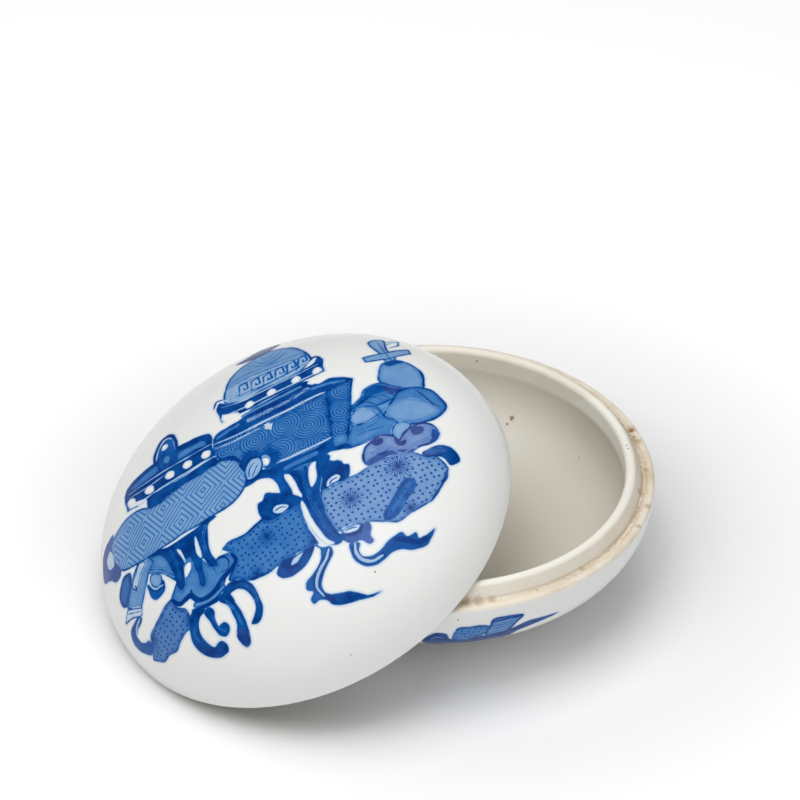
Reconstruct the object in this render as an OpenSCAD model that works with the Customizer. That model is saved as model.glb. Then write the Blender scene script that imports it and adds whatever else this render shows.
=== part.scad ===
// Round porcelain seal paste box. A shallow bowl has a bare ledge and a raised lip,
// and a domed cover leans on that ledge with its low edge on the table.
// Millimetres, +Z up. The origin is the middle of the foot ring on the table,
// and the cover leans towards -X.

/* [Bowl] */
// Outside diameter at the ledge
bowl_d = 76; // [66:1:90]
// Height of the ledge above the table
ledge_h = 20.9; // [19.5:0.1:22]
// Exponent of the belly's curve: 2 is an ellipse, and more is squarer
belly_exponent = 2.17; // [2:0.01:2.6]
// Height above the table at which the belly would close, inside the foot ring
belly_lift = 1; // [0.4:0.1:2]
// Radius of the glazed shoulder at the ledge's outer edge
shoulder_r = 0.6; // [0.3:0.1:1]

/* [Foot ring] */
// Outside diameter of the foot ring at its bearing edge
foot_d = 38; // [32:1:44]
// Width of the foot ring's bearing edge
foot_w = 1.6; // [1:0.1:2.4]
// How far each side of the foot ring leans outward going up
foot_flare = 0.9; // [0.4:0.1:1.4]
// Bevel where the glaze is wiped off the bearing edge
foot_bevel = 0.35; // [0.2:0.05:0.5]
// Height of the glazed underside above the table, inside the foot ring
recess_h = 1.8; // [1.2:0.1:2.4]

/* [Ledge and lip] */
// Width of the bare ledge that the cover sits on
ledge_w = 2.4; // [2:0.1:3]
// Height of the lip above the ledge
lip_h = 2.5; // [1.6:0.1:3.2]
// Thickness of the lip where it meets the ledge
lip_w = 2.8; // [2.2:0.1:3.4]
// How far the lip's outer face leans inward going up
lip_lean = 0.9; // [0.4:0.1:1.2]
// Radius of the groove that collects paste at the foot of the lip
groove_r = 0.35; // [0.2:0.05:0.6]

/* [Paste well] */
// Height of the well's floor above the table, at its middle
well_floor_h = 5.8; // [5:0.1:7.5]
// Depth of the straight bare band below the top of the lip
well_band_h = 3.2; // [2:0.1:4.5]
// Exponent of the well's curve
well_exponent = 2.3; // [2:0.05:2.8]

/* [Cover] */
// How far the cover's side stays inside the bowl's when the box is closed
cover_inset = 0.5; // [0:0.1:0.8]
// Height of the cover from its rim to its crown
cover_h = 21; // [18:0.2:25]
// Exponent of the dome's curve
dome_exponent = 2.32; // [2:0.02:2.8]
// Wall thickness at the crown
crown_t = 3; // [2.4:0.1:4]
// Exponent of the hollow's curve under the dome
hollow_exponent = 2.1; // [2:0.05:2.3]
// Radius of the glazed edge outside the cover's bare rim
rim_r = 0.4; // [0.3:0.05:0.6]
// Depth of the straight seat inside the rim that slips over the lip
seat_depth = 3; // [2.8:0.1:4]
// Clearance all round between the lip and the seat
fit_gap = 0.45; // [0.2:0.05:0.7]

/* [Resting place] */
// Tilt of the cover as it leans on the bowl, in degrees
lean = 26.6; // [25:0.1:28]
// Clearance between the cover and the bowl where it leans
lean_gap = 0.2; // [0.1:0.05:0.4]

/* [Hidden] */
turn_faces = 96;
curve_steps = 26;
corner_steps = 5;
edge_ease = 0.25;
bowl_r = bowl_d / 2;
cover_r = bowl_r - cover_inset;
foot_r = foot_d / 2;
lip_r = bowl_r - ledge_w;
lip_top_r = lip_r - lip_lean;
well_r = lip_r - lip_w;
lip_top_h = ledge_h + lip_h;
crest_r = (lip_top_r - well_r) / 2;
shoulder_h = ledge_h - shoulder_r;
well_mouth_h = lip_top_h - well_band_h;
seat_r = lip_r + fit_gap;

// A quarter of a rounded square, from the widest point up to the crown.
function dome_arc(r, h, exponent, steps) = [
    for (i = [0:steps]) let (a = 90 * i / steps)
        [r * pow(cos(a), 2 / exponent), h * pow(sin(a), 2 / exponent)]
];

// Points around a corner from one angle to another.
function corner(centre, r, from, to) = [
    for (i = [0:corner_steps]) let (a = from + (to - from) * i / corner_steps)
        centre + r * [cos(a), sin(a)]
];

function shift_up(points, h) = [for (p = points) [p.x, p.y + h]];
function turn_over(points, h) = [for (p = points) [p.x, h - p.y]];
function reversed(points) = [for (i = [len(points) - 1:-1:0]) points[i]];

// Height of the belly above the table at a distance r from the axis.
belly_depth = shoulder_h - belly_lift;
function belly_h(r) = shoulder_h - belly_depth * pow(1 - pow(r / bowl_r, belly_exponent), 1 / belly_exponent);

// The foot ring flares out until it runs into the belly.
foot_top_r = foot_r + foot_flare;
foot_inner_r = foot_r - foot_w;
recess_r = foot_inner_r - foot_flare;

// The bowl's section, from the middle of its underside round to the middle of the well.
bowl_section = concat(
    [[0, recess_h], [recess_r, recess_h]],
    [[foot_inner_r - foot_bevel, foot_bevel], [foot_inner_r, 0]],
    [[foot_r - foot_bevel, 0], [foot_r, foot_bevel], [foot_top_r, belly_h(foot_top_r)]],
    [for (p = reversed(turn_over(dome_arc(bowl_r, belly_depth, belly_exponent, curve_steps), shoulder_h)))
        if (p.x > foot_top_r + foot_bevel && p.x < bowl_r) p],
    corner([bowl_r - shoulder_r, shoulder_h], shoulder_r, 0, 90),
    corner([lip_r + groove_r, ledge_h + groove_r], groove_r, 270, 180),
    corner([lip_top_r - crest_r, lip_top_h - crest_r], crest_r, 0, 180),
    turn_over(dome_arc(well_r, well_mouth_h - well_floor_h, well_exponent, curve_steps), well_mouth_h)
);

// The cover's section in its own frame, with its bare rim on z = 0.
cover_section = concat(
    [[seat_r, edge_ease], [seat_r + edge_ease, 0]],
    corner([cover_r - rim_r, rim_r], rim_r, 270, 360),
    [for (p = shift_up(dome_arc(cover_r, cover_h - rim_r, dome_exponent, curve_steps), rim_r))
        if (p.x < cover_r) p],
    reversed(shift_up(dome_arc(seat_r, cover_h - crown_t - seat_depth, hollow_exponent, curve_steps), seat_depth))
);

// Where the cover rests. Its low edge is on the table, and the edge of its seat stops at
// the bowl's shoulder or at the crest of its lip, whichever holds it further out.
cover_lift = (cover_r - rim_r) * sin(lean) + rim_r * (1 - cos(lean));
shoulder_cut = shoulder_r * (1 - cos(45));
crest_cut = crest_r * (1 - cos(45));

// How far out the seat's edge is held by a circle of the bowl of radius r at height h.
function held_out(r, h) =
    let (along = (h - cover_lift) / sin(lean), across = sqrt(seat_r * seat_r - along * along))
        sqrt(max(0, r * r - across * across)) + along * cos(lean);

cover_reach = max(
    held_out(bowl_r - shoulder_cut + lean_gap, ledge_h - shoulder_cut + lean_gap),
    held_out(lip_top_r - crest_cut + lean_gap, lip_top_h - crest_cut + lean_gap)
);

echo(cover_reach = cover_reach, cover_lift = cover_lift, closed_height = ledge_h + cover_h);

module turned(section) {
    rotate_extrude($fn = turn_faces) polygon(section);
}

module bowl() {
    color("ghostwhite") turned(bowl_section);
}

module cover() {
    color("lavender") translate([-cover_reach, 0, cover_lift])
        rotate([0, -lean, 0]) turned(cover_section);
}

bowl();
cover();
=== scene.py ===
"""A round porcelain box for seal paste, laid out as a Blender add-on.

Each of its two pieces is wound onto the section that it was thrown to, and carries
its underglaze painting as distances in millimetres, which the glaze material reads.
"""

import math

import bpy
import numpy as np
from bpy.props import FloatProperty, FloatVectorProperty, IntProperty, PointerProperty
from mathutils import Matrix, Vector


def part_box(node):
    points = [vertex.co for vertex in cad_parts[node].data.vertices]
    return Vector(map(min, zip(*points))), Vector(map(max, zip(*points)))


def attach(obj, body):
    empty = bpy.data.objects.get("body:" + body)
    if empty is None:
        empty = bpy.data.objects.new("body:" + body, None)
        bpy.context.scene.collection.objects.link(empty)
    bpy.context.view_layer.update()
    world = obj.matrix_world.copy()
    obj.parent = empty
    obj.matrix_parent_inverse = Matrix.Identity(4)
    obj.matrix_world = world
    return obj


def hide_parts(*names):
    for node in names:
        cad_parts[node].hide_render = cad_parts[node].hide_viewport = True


bl_info = {
    "name": "Seal Paste Box",
    "version": (1, 0, 0),
    "blender": (4, 5, 0),
    "location": "View3D > Sidebar > Paste Box",
    "description": "Builds a painted porcelain seal paste box and its stage",
    "category": "Object",
}

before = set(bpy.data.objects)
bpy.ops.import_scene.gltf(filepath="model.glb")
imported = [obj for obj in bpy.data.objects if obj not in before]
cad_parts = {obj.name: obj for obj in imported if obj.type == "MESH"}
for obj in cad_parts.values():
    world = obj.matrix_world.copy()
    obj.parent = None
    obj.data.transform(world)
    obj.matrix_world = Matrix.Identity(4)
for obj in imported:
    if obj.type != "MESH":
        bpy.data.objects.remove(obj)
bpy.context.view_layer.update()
BOWL_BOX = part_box("bowl")
MM = 0.001

# The camera's place, from the outlines in the picture. Angles are in degrees, and
# distances are in radii of the bowl from the middle of its foot.
PICTURE_SIDE = 800
PICTURE_MIDDLE = 400
CAMERA_AZIMUTH = 26.77
CAMERA_ELEVATION = 36.76
CAMERA_ROLL = 1.18
CAMERA_DISTANCE = 25.0
CAMERA_RIGHT = -0.1525
CAMERA_UP = 0.7723
FOCAL_PIXELS = 5417.0
SENSOR_MM = 36.0

# How far to look for the skin along a ray, in mm, in steps that are then halved.
SEARCH_MM = 60
SEARCH_STEPS = 480
HALVINGS = 24

# Steps along the curves of the sections.
SKIN_STEPS = 4000
DOME_STEPS = 240
BELLY_STEPS = 220
HOLLOW_STEPS = 72
CREST_STEPS = 12

# The net that is wound round each piece: its columns, its cells in mm, and how near to an
# edge of the paint the fine cells lie, in cells and in mm.
COLUMNS = 2048
ROOT_COLUMNS = 64
COLUMN_TURN = 2 * math.pi / COLUMNS
COARSE_CELL = 1.5
FINE_CELL = 0.24
NEAR_CELLS = 0.75
NEAR_MM = 0.12

# Layers of paint that are kept as signed distances in mm, negative inside and up to FAR.
INKS = ("wash", "fine", "dark", "pale", "curl", "burst", "diaper", "dots")
FAR = 2.0

# The tone of the thinnest wash, the tone above which a wash hides what it meets, and the
# tone above which a stroke is put on dark, without a drawn edge.
LIGHT = 0.34
HIDING = 0.45
FULL = 0.8

# Widths in mm: the drawn edge of a wash, half the line round a curl, and how far past its
# outline a stroke's tone, its edge's tone, a hiding wash and a motif reach.
WASH_EDGE = 0.4
CURL_LINE = 0.13
TONE_REACH = 0.3
EDGE_REACH = 0.5
OVERLAP = 0.12
MOTIF_REACH = 0.12


def linear(code):
    """The linear colour of a hex sRGB code."""
    parts = [int(code[i:i + 2], 16) / 255 for i in (1, 3, 5)]
    return tuple(p / 12.92 if p <= 0.04045 else ((p + 0.055) / 1.055) ** 2.4 for p in parts)


def size(name, description, value, **limits):
    """A length in metres that the user may change."""
    return FloatProperty(
        name=name, description=description, default=value, unit="LENGTH", subtype="DISTANCE", **limits)


def colour(name, description, code):
    """A colour that the user may change."""
    return FloatVectorProperty(
        name=name, description=description, default=linear(code), size=3, subtype="COLOR", min=0, max=1)


class PasteBoxBowlSizes(bpy.types.PropertyGroup):
    """Sizes of the bowl."""

    diameter: size("Diameter", "Outside diameter at the ledge", BOWL_BOX[1][0] - BOWL_BOX[0][0])
    ledge_height: size("Ledge height", "Height of the ledge above the table", BOWL_BOX[1][2] - 2.5 * MM)
    lip_height: size("Lip height", "Height of the lip above the ledge", 2.5 * MM)
    ledge_width: size("Ledge width", "Width of the bare ledge", 2.4 * MM)
    lip_width: size("Lip width", "Thickness of the lip at the ledge", 2.8 * MM)
    lip_lean: size("Lip lean", "How far the lip's outer face leans in going up", 0.9 * MM)
    groove_radius: size("Groove radius", "Radius of the groove at the foot of the lip", 0.35 * MM)
    shoulder_radius: size("Shoulder radius", "Radius of the glazed shoulder", 0.6 * MM)
    belly_exponent: FloatProperty(name="Belly exponent", description="2 is an ellipse", default=2.17)
    belly_lift: size("Belly lift", "Height at which the belly would close", 1.0 * MM)
    foot_diameter: size("Foot diameter", "Outside diameter of the foot ring", 38 * MM)
    foot_width: size("Foot width", "Width of the bearing edge", 1.6 * MM)
    foot_flare: size("Foot flare", "How far the foot ring leans out going up", 0.9 * MM)
    foot_bevel: size("Foot bevel", "Bevel of the bearing edge", 0.35 * MM)
    recess_height: size("Recess height", "Height of the glazed underside", 1.8 * MM)
    floor_height: size("Floor height", "Height of the well's floor above the table", 5.8 * MM)
    band_height: size("Band height", "Depth of the straight band below the lip", 3.2 * MM)
    well_exponent: FloatProperty(name="Well exponent", description="2 is an ellipse", default=2.3)


class PasteBoxCoverSizes(bpy.types.PropertyGroup):
    """Sizes of the cover and how it leans."""

    inset: size("Inset", "How far the cover's side stays inside the bowl's", 0.5 * MM)
    height: size("Height", "Height from the rim to the crown", 21 * MM)
    dome_exponent: FloatProperty(name="Dome exponent", description="2 is an ellipse", default=2.32)
    crown: size("Crown", "Wall thickness at the crown", 3 * MM)
    hollow_exponent: FloatProperty(name="Hollow exponent", description="2 is an ellipse", default=2.1)
    rim_radius: size("Rim radius", "Radius of the glazed edge", 0.4 * MM)
    seat_depth: size("Seat depth", "Depth of the straight seat", 3 * MM)
    fit_gap: size("Fit gap", "Clearance between the lip and the seat", 0.45 * MM)
    edge_ease: size("Edge ease", "Bevel inside the rim", 0.25 * MM)
    lean: FloatProperty(
        name="Lean", description="Tilt of the leaning cover", default=math.radians(26.6), subtype="ANGLE")
    lean_gap: size("Lean gap", "Clearance where the cover leans on the bowl", 0.2 * MM)


class PasteBoxFinish(bpy.types.PropertyGroup):
    """Colours and gloss of the porcelain."""

    glaze: colour("Glaze", "Clear glaze over the white body", "#F0F1EF")
    well_glaze: colour("Well glaze", "Worn glaze in the paste well", "#DBD6C8")
    # The well's wall colour is painted shade, laid high on one side of the well.
    well_wall_shade: colour("Well wall", "Glaze round the well, stained by paste", "#AEA99B")
    biscuit: colour("Biscuit", "Bare body on the ledge", "#EDE4D5")
    pale_biscuit: colour("Pale biscuit", "Clean bare body on the lip", "#F8F4E8")
    stain: colour("Stain", "Body that paste has crept into", "#D3C2A3")
    grime: colour("Grime", "Old paste and dust in the groove", "#A3865A")
    stain_spot: colour("Spot", "Iron spots in the glaze", "#8A6232")
    light_cobalt: colour("Light cobalt", "Thin wash", "#90B4DA")
    mid_cobalt: colour("Mid cobalt", "Second wash", "#4882C0")
    full_cobalt: colour("Full cobalt", "Full wash", "#0C5AAA")
    dark_cobalt: colour("Dark cobalt", "Outlines and pooled paint", "#003680")
    light_violet: colour("Light violet", "Thin wash that fired violet", "#A0B0D6")
    mid_violet: colour("Mid violet", "Full wash that fired violet", "#5064A8")
    dark_violet: colour("Dark violet", "Pooled paint that fired violet", "#2E3878")
    gloss: FloatProperty(name="Roughness", description="Of the glaze", default=0.26, min=0, max=1)


class PasteBoxStage(bpy.types.PropertyGroup):
    """Floor and lights."""

    floor: colour("Floor", "Plain pale floor", "#F7F7F7")
    top_power: FloatProperty(name="Top", description="Soft light overhead", default=1.75, unit="POWER")
    key_power: FloatProperty(name="Key", description="Soft light, front left", default=1.6, unit="POWER")
    fill_power: FloatProperty(
        name="Fill", description="Soft light, front right", default=0.66, unit="POWER")
    sky: FloatProperty(name="Sky", description="Brightness all round", default=0.09)
    table: FloatProperty(name="Table", description="Glow of the table round the box", default=0.34)


# Sections, in mm, from the axis underneath round to the axis on top


def quarter(r, h, exponent, steps):
    """A quarter of a rounded square, from its widest point up to its crown."""
    a = np.linspace(0, np.pi / 2, steps + 1)
    return np.c_[r * np.cos(a) ** (2 / exponent), h * np.sin(a) ** (2 / exponent)]


def corner(centre, r, start, end, steps=6):
    """Points round a corner, with angles in degrees."""
    a = np.radians(np.linspace(start, end, steps + 1))
    return np.c_[centre[0] + r * np.cos(a), centre[1] + r * np.sin(a)]


def in_mm(group):
    """A property group's values, with its lengths in mm."""
    units = group.bl_rna.properties
    return {k: getattr(group, k) / (MM if units[k].unit == "LENGTH" else 1) for k in group.__annotations__}


class Skin:
    """The painted outside of a piece: a quarter of a rounded square turned about its axis.

    Its chart lays the skin flat, at its true length from the pole.
    """

    def __init__(self, radius, height, exponent, base, flip, place):
        self.radius = radius
        self.height = height
        self.exponent = exponent
        self.base = base
        self.flip = flip
        self.place = place
        fine = quarter(radius, height, exponent, SKIN_STEPS)[::-1]
        self.table = np.r_[0, np.cumsum(np.hypot(*np.diff(fine, axis=0).T))]

    def outside(self, p):
        """More than 0 outside the skin, and less than 0 inside it."""
        r = np.hypot(p[..., 0], p[..., 1]) / self.radius
        h = np.maximum((p[..., 2] - self.base) * self.flip, 0) / self.height
        return r ** self.exponent + h ** self.exponent - 1

    def chart(self, p):
        """Points on the skin, laid flat in mm."""
        r = np.hypot(p[..., 0], p[..., 1])
        h = np.maximum((p[..., 2] - self.base) * self.flip, 0)
        power = self.exponent / 2
        a = np.arctan2((r / self.radius) ** power, (h / self.height) ** power)
        s = np.interp(a / (np.pi / 2), np.linspace(0, 1, len(self.table)), self.table)
        r = np.maximum(r, 1e-9)
        return np.stack([p[..., 0] / r * s, p[..., 1] / r * s], -1)

    def seen(self, pixels):
        """Where pixels of the picture meet the skin, laid flat in mm."""
        eye, rays = picture_rays(np.asarray(pixels, float))
        turn = np.array(self.place.to_3x3().inverted())
        eye = turn @ (eye - np.array(self.place.translation))
        rays = rays @ turn.T
        middle = -(rays @ eye)
        steps = middle[:, None] + np.linspace(-SEARCH_MM, SEARCH_MM, SEARCH_STEPS + 1)
        level = self.outside(eye + rays[:, None] * steps[..., None])
        hit = (level[:, :-1] > 0) & (level[:, 1:] <= 0)
        first = np.where(hit.any(1), hit.argmax(1), np.abs(level).argmin(1).clip(0, SEARCH_STEPS - 1))
        rows = np.arange(len(rays))
        near, far = steps[rows, first], steps[rows, first + 1]
        for _ in range(HALVINGS):
            half = (near + far) / 2
            out = self.outside(eye + rays * half[:, None]) > 0
            near, far = np.where(out, half, near), np.where(out, far, half)
        return self.chart(eye + rays * near[:, None])


def camera_axes():
    """The camera's eye in mm and its right, up and forward directions."""
    e, a, r = (math.radians(v) for v in (CAMERA_ELEVATION, CAMERA_AZIMUTH, CAMERA_ROLL))
    forward = np.array([math.sin(a) * math.cos(e), math.cos(a) * math.cos(e), -math.sin(e)])
    level = np.array([math.cos(a), -math.sin(a), 0])
    above = np.cross(level, forward)
    right = math.cos(r) * level + math.sin(r) * above
    up = -math.sin(r) * level + math.cos(r) * above
    unit = bpy.context.scene.paste_box_bowl.diameter / 2 / MM
    eye = unit * (CAMERA_RIGHT * right + CAMERA_UP * up - CAMERA_DISTANCE * forward)
    return eye, right, up, forward


def picture_rays(pixels):
    """The eye and the unit rays through pixels of the picture."""
    eye, right, up, forward = camera_axes()
    across = (pixels[:, :1] - PICTURE_MIDDLE) / FOCAL_PIXELS
    down = (pixels[:, 1:] - PICTURE_MIDDLE) / FOCAL_PIXELS
    rays = forward + across * right - down * up
    return eye, rays / np.linalg.norm(rays, axis=1, keepdims=True)


def bowl_form():
    """The bowl's section and its painted skin."""
    v = in_mm(bpy.context.scene.paste_box_bowl)
    bowl_r = v["diameter"] / 2
    shoulder_h = v["ledge_height"] - v["shoulder_radius"]
    depth = shoulder_h - v["belly_lift"]
    foot_r = v["foot_diameter"] / 2
    inner_r = foot_r - v["foot_width"]
    top_r = foot_r + v["foot_flare"]
    bevel = v["foot_bevel"]
    lip_r = bowl_r - v["ledge_width"]
    lip_top_r = lip_r - v["lip_lean"]
    lip_top_h = v["ledge_height"] + v["lip_height"]
    well_r = lip_r - v["lip_width"]
    crest_r = (lip_top_r - well_r) / 2
    mouth_h = lip_top_h - v["band_height"]
    groove = v["groove_radius"]
    exponent = v["belly_exponent"]
    belly = quarter(bowl_r, depth, exponent, BELLY_STEPS)[::-1] * [1, -1] + [0, shoulder_h]
    belly = belly[(belly[:, 0] > top_r + bevel) & (belly[:, 0] < bowl_r - 1e-6)]
    top_h = shoulder_h - depth * (1 - (top_r / bowl_r) ** exponent) ** (1 / exponent)
    well = quarter(well_r, mouth_h - v["floor_height"], v["well_exponent"], HOLLOW_STEPS)
    well = well * [1, -1] + [0, mouth_h]
    parts = (
        ("underside", [[0, v["recess_height"]], [inner_r - v["foot_flare"], v["recess_height"]]]),
        ("foot", [[inner_r - bevel, bevel], [inner_r, 0], [foot_r - bevel, 0], [foot_r, bevel]]),
        ("belly", np.r_[[[top_r, top_h]], belly]),
        ("shoulder", corner([bowl_r - v["shoulder_radius"], shoulder_h], v["shoulder_radius"], 0, 90)),
        ("ledge", corner([lip_r + groove, v["ledge_height"] + groove], groove, 270, 180)),
        ("crest", corner([lip_top_r - crest_r, lip_top_h - crest_r], crest_r, 0, 180, CREST_STEPS)),
        ("well", well),
    )
    skin = Skin(bowl_r, depth, exponent, shoulder_h, -1, Matrix())
    return section_of(parts), skin


def cover_form():
    """The cover's section in its own frame, its painted skin and its place."""
    bowl = in_mm(bpy.context.scene.paste_box_bowl)
    v = in_mm(bpy.context.scene.paste_box_cover)
    bowl_r = bowl["diameter"] / 2
    cover_r = bowl_r - v["inset"]
    lip_r = bowl_r - bowl["ledge_width"]
    seat_r = lip_r + v["fit_gap"]
    rim = v["rim_radius"]
    hollow_h = v["height"] - v["crown"] - v["seat_depth"]
    hollow = quarter(seat_r, hollow_h, v["hollow_exponent"], HOLLOW_STEPS)[::-1] + [0, v["seat_depth"]]
    dome = quarter(cover_r, v["height"] - rim, v["dome_exponent"], DOME_STEPS) + [0, rim]
    parts = (
        ("hollow", hollow),
        ("seat", [[seat_r, v["edge_ease"]]]),
        ("rim", [[seat_r + v["edge_ease"], 0]]),
        ("edge", corner([cover_r - rim, rim], rim, 270, 360)),
        ("dome", dome[1:]),
    )
    sine, cosine = math.sin(v["lean"]), math.cos(v["lean"])
    lift = (cover_r - rim) * sine + rim * (1 - cosine)
    lip_top_r = lip_r - bowl["lip_lean"]
    crest_r = (lip_top_r - lip_r + bowl["lip_width"]) / 2
    cut = 1 - math.cos(math.radians(45))

    def held_out(r, h):
        """How far out a circle of the bowl holds the edge of the seat."""
        along = (h - lift) / sine
        return math.sqrt(max(0, r * r - seat_r * seat_r + along * along)) + along * cosine

    shoulder = v["lean_gap"] - bowl["shoulder_radius"] * cut
    crest = v["lean_gap"] - crest_r * cut
    reach = max(
        held_out(bowl_r + shoulder, bowl["ledge_height"] + shoulder),
        held_out(lip_top_r + crest, bowl["ledge_height"] + bowl["lip_height"] + crest),
    )
    place = Matrix.Translation((-reach, 0, lift)) @ Matrix.Rotation(-v["lean"], 4, "Y")
    skin = Skin(cover_r, v["height"] - rim, v["dome_exponent"], rim, 1, place)
    return section_of(parts), skin, (v["lean"], reach * MM, lift * MM)


def section_of(parts):
    """Joins named parts into one section with its points, part names and length so far."""
    points = np.vstack([np.asarray(p, float) for _, p in parts])
    names = np.concatenate([[name] * len(p) for name, p in parts])
    points[[0, -1], 0] = 0
    length = np.r_[0, np.cumsum(np.hypot(*np.diff(points, axis=0).T))]
    return points, names, length


# The brush


def smooth(points, closed, steps=6):
    """A smooth curve through the points. A point given twice stays a corner."""
    points = np.asarray(points, float)
    if closed:
        points = np.vstack([points, points[:1]])
    gaps = np.hypot(*np.diff(points, axis=0).T)
    breaks = [0, *(np.nonzero(gaps < 1e-6)[0] + 1), len(points)]
    runs = [points[a:b] for a, b in zip(breaks, breaks[1:]) if b - a > 0]
    loop = closed and len(runs) == 1
    out = []
    for run in runs:
        if len(run) < 3:
            out.append(run)
            continue
        ring = np.vstack([run[-2:-1], run, run[1:2]]) if loop else np.vstack([run[:1], run, run[-1:]])
        d = np.hypot(*np.diff(ring, axis=0).T)[:, None]
        speed = np.diff(ring, axis=0) / np.maximum(d, 1e-9)
        slope = (speed[:-1] * d[1:] + speed[1:] * d[:-1]) / np.maximum(d[:-1] + d[1:], 1e-9)
        if not loop:
            slope[0], slope[-1] = speed[1], speed[-2]
        t = np.arange(steps)[:, None] / steps
        for i in range(len(run) - 1):
            reach = d[i + 1]
            a, b = run[i], run[i + 1]
            out.append(
                (2 * t ** 3 - 3 * t ** 2 + 1) * a + (t ** 3 - 2 * t ** 2 + t) * reach * slope[i]
                + (3 * t ** 2 - 2 * t ** 3) * b + (t ** 3 - t ** 2) * reach * slope[i + 1])
        out.append(run[-1:])
    return np.vstack(out)


def line_distance(p, line, half):
    """Distance in mm from points to a line, less its half width there."""
    best = np.full(len(p), 1e9)
    for a, b, wa, wb in zip(line, line[1:], half, half[1:]):
        along = b - a
        t = np.clip((p - a) @ along / max(along @ along, 1e-12), 0, 1)
        best = np.minimum(best, np.hypot(*(p - a - t[:, None] * along).T) - (wa + (wb - wa) * t))
    return best


def inside(p, line):
    """Whether points are inside a closed line."""
    odd = np.zeros(len(p), bool)
    for a, b in zip(line, np.roll(line, -1, 0)):
        if a[1] != b[1]:
            crosses = (a[1] > p[:, 1]) != (b[1] > p[:, 1])
            odd ^= crosses & (p[:, 0] < a[0] + (p[:, 1] - a[1]) * (b[0] - a[0]) / (b[1] - a[1]))
    return odd


class Brush:
    """Collects strokes on a skin in painting order and tells the paint at any point."""

    def __init__(self, skin):
        self.skin = skin
        self.strokes = []
        self.spin = 0.0

    def add(self, action, points, **style):
        """Adds a stroke along points of the chart."""
        pad = FAR + style.get("width", 0) + style.get("radius", 0)
        c, d = math.cos(self.spin), math.sin(self.spin)
        points = points @ np.array([[c, d], [-d, c]])
        low, high = points.min(0) - pad, points.max(0) + pad
        self.strokes.append((action, points, low, high, style))

    def fill(self, tone, pixels, edge=None, violet=0.0, pattern=None, axis=None, sharp=False, width=0.0):
        """Fills an outline, or a band of the given width, and draws its edge in dark cobalt.

        An axis is three pixels: the middle of a motif and the middles of two beside it.
        """
        points = self.skin.seen(pixels)
        motif = None if axis is None else self.skin.seen(axis)
        if edge is None:
            edge = WASH_EDGE if tone <= FULL else 0.0
        self.add(
            "fill", points if sharp else smooth(points, width == 0), tone=tone, edge=edge, width=width,
            ink="dark" if tone > FULL else "wash", violet=violet, pattern=pattern, axis=motif)

    def line(self, width, pixels, ink="dark", sharp=False, taper=0.5, violet=0.0):
        """Draws a line that thins towards its ends."""
        points = self.skin.seen(pixels)
        points = points if sharp else smooth(points, False)
        self.add("line", points, width=width, ink=ink, taper=taper, violet=violet)

    def clear(self, pixels, width=0.0, sharp=False):
        """Leaves an outline white, or a line of the given width."""
        points = self.skin.seen(pixels)
        points = points if sharp else smooth(points, width == 0)
        self.add("clear", points, width=width)

    def mark(self, kind, centre, radius, turn=1.0):
        """A round motif about a centre, with its radius in picture pixels."""
        points = self.skin.seen([centre, (centre[0] + radius, centre[1]), (centre[0], centre[1] + radius)])
        reach = np.hypot(*(points[1:] - points[0]).T).mean()
        self.add("mark", points[:1], kind=kind, radius=reach, turn=turn)

    def paint(self, p):
        """The paint at points of the chart: layers, tones, motif coordinates and nearest edge."""
        out = {ink: np.full(len(p), FAR) for ink in INKS}
        out |= {name: np.zeros(len(p)) for name in ("tone", "deep", "violet")}
        out["motif"] = np.zeros((len(p), 3))
        near = np.full(len(p), FAR)
        for action, points, low, high, style in self.strokes:
            at = np.nonzero(((p > low) & (p < high)).all(1))[0]
            if not len(at):
                continue
            q = p[at]
            width = style.get("width", 0.0)
            if action == "mark":
                d = np.maximum(np.hypot(*(q - points[0]).T) - style["radius"], out["wash"][at])
                kind = style["kind"]
                inner = d < MOTIF_REACH
                spot = (q - points[0]) * [style["turn"], 1]
                spot = spot / style["radius"] if kind == "burst" else spot
                out["motif"][at[inner], :2] = spot[inner]
                out[kind][at] = np.minimum(out[kind][at], d)
                if kind == "curl":
                    out["fine"][at] = np.minimum(np.maximum(out["fine"][at], -d), np.abs(d) - CURL_LINE)
                near[at] = np.minimum(near[at], np.abs(d))
                continue
            if action == "line" or width:
                steps = np.linspace(0, 1, len(points))
                taper = style.get("taper", 0.0)
                half = width / 2 * (1 - taper * np.abs(2 * steps - 1) ** 3)
                d = line_distance(q, points, half)
                near[at] = np.minimum(near[at], np.maximum(d, 0))
            else:
                loop = np.vstack([points, points[:1]])
                d = np.abs(line_distance(q, loop, np.zeros(len(loop))))
                d = np.where(inside(q, points), -d, d)
                near[at] = np.minimum(near[at], np.abs(d))
            if action == "line":
                ink = style["ink"]
                out[ink][at] = np.minimum(out[ink][at], d)
                close = at[d < TONE_REACH]
                out["deep"][close] = 1
                if style["violet"]:
                    out["violet"][close] = style["violet"]
                continue
            overlap = OVERLAP if style.get("tone", 0.0) > HIDING else 0.0
            for ink in INKS:
                out[ink][at] = np.maximum(out[ink][at], -d - overlap)
            if action == "clear":
                continue
            ink = style["ink"]
            close = at[d < TONE_REACH]
            out[ink][at] = np.minimum(out[ink][at], d)
            out["tone" if ink == "wash" else "deep"][close] = style["tone"]
            out["violet"][close] = style["violet"]
            if style["edge"]:
                rim = np.abs(d) - style["edge"] / 2
                out["dark"][at] = np.minimum(out["dark"][at], rim)
                near[at] = np.minimum(near[at], np.maximum(rim, 0))
                if ink == "wash":
                    out["deep"][at[np.abs(d) < EDGE_REACH]] = 1
            if style["pattern"]:
                out[style["pattern"]][at] = np.minimum(out[style["pattern"]][at], d)
                if style["axis"] is not None:
                    start, first, second = style["axis"]
                    steps = np.linalg.inv(np.c_[first - start, second - start])
                    out["motif"][close, :2] = (q[d < TONE_REACH] - start) @ steps.T
        for ink in INKS:
            out[ink] = np.clip(out[ink], -FAR, FAR)
        return out, near


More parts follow.
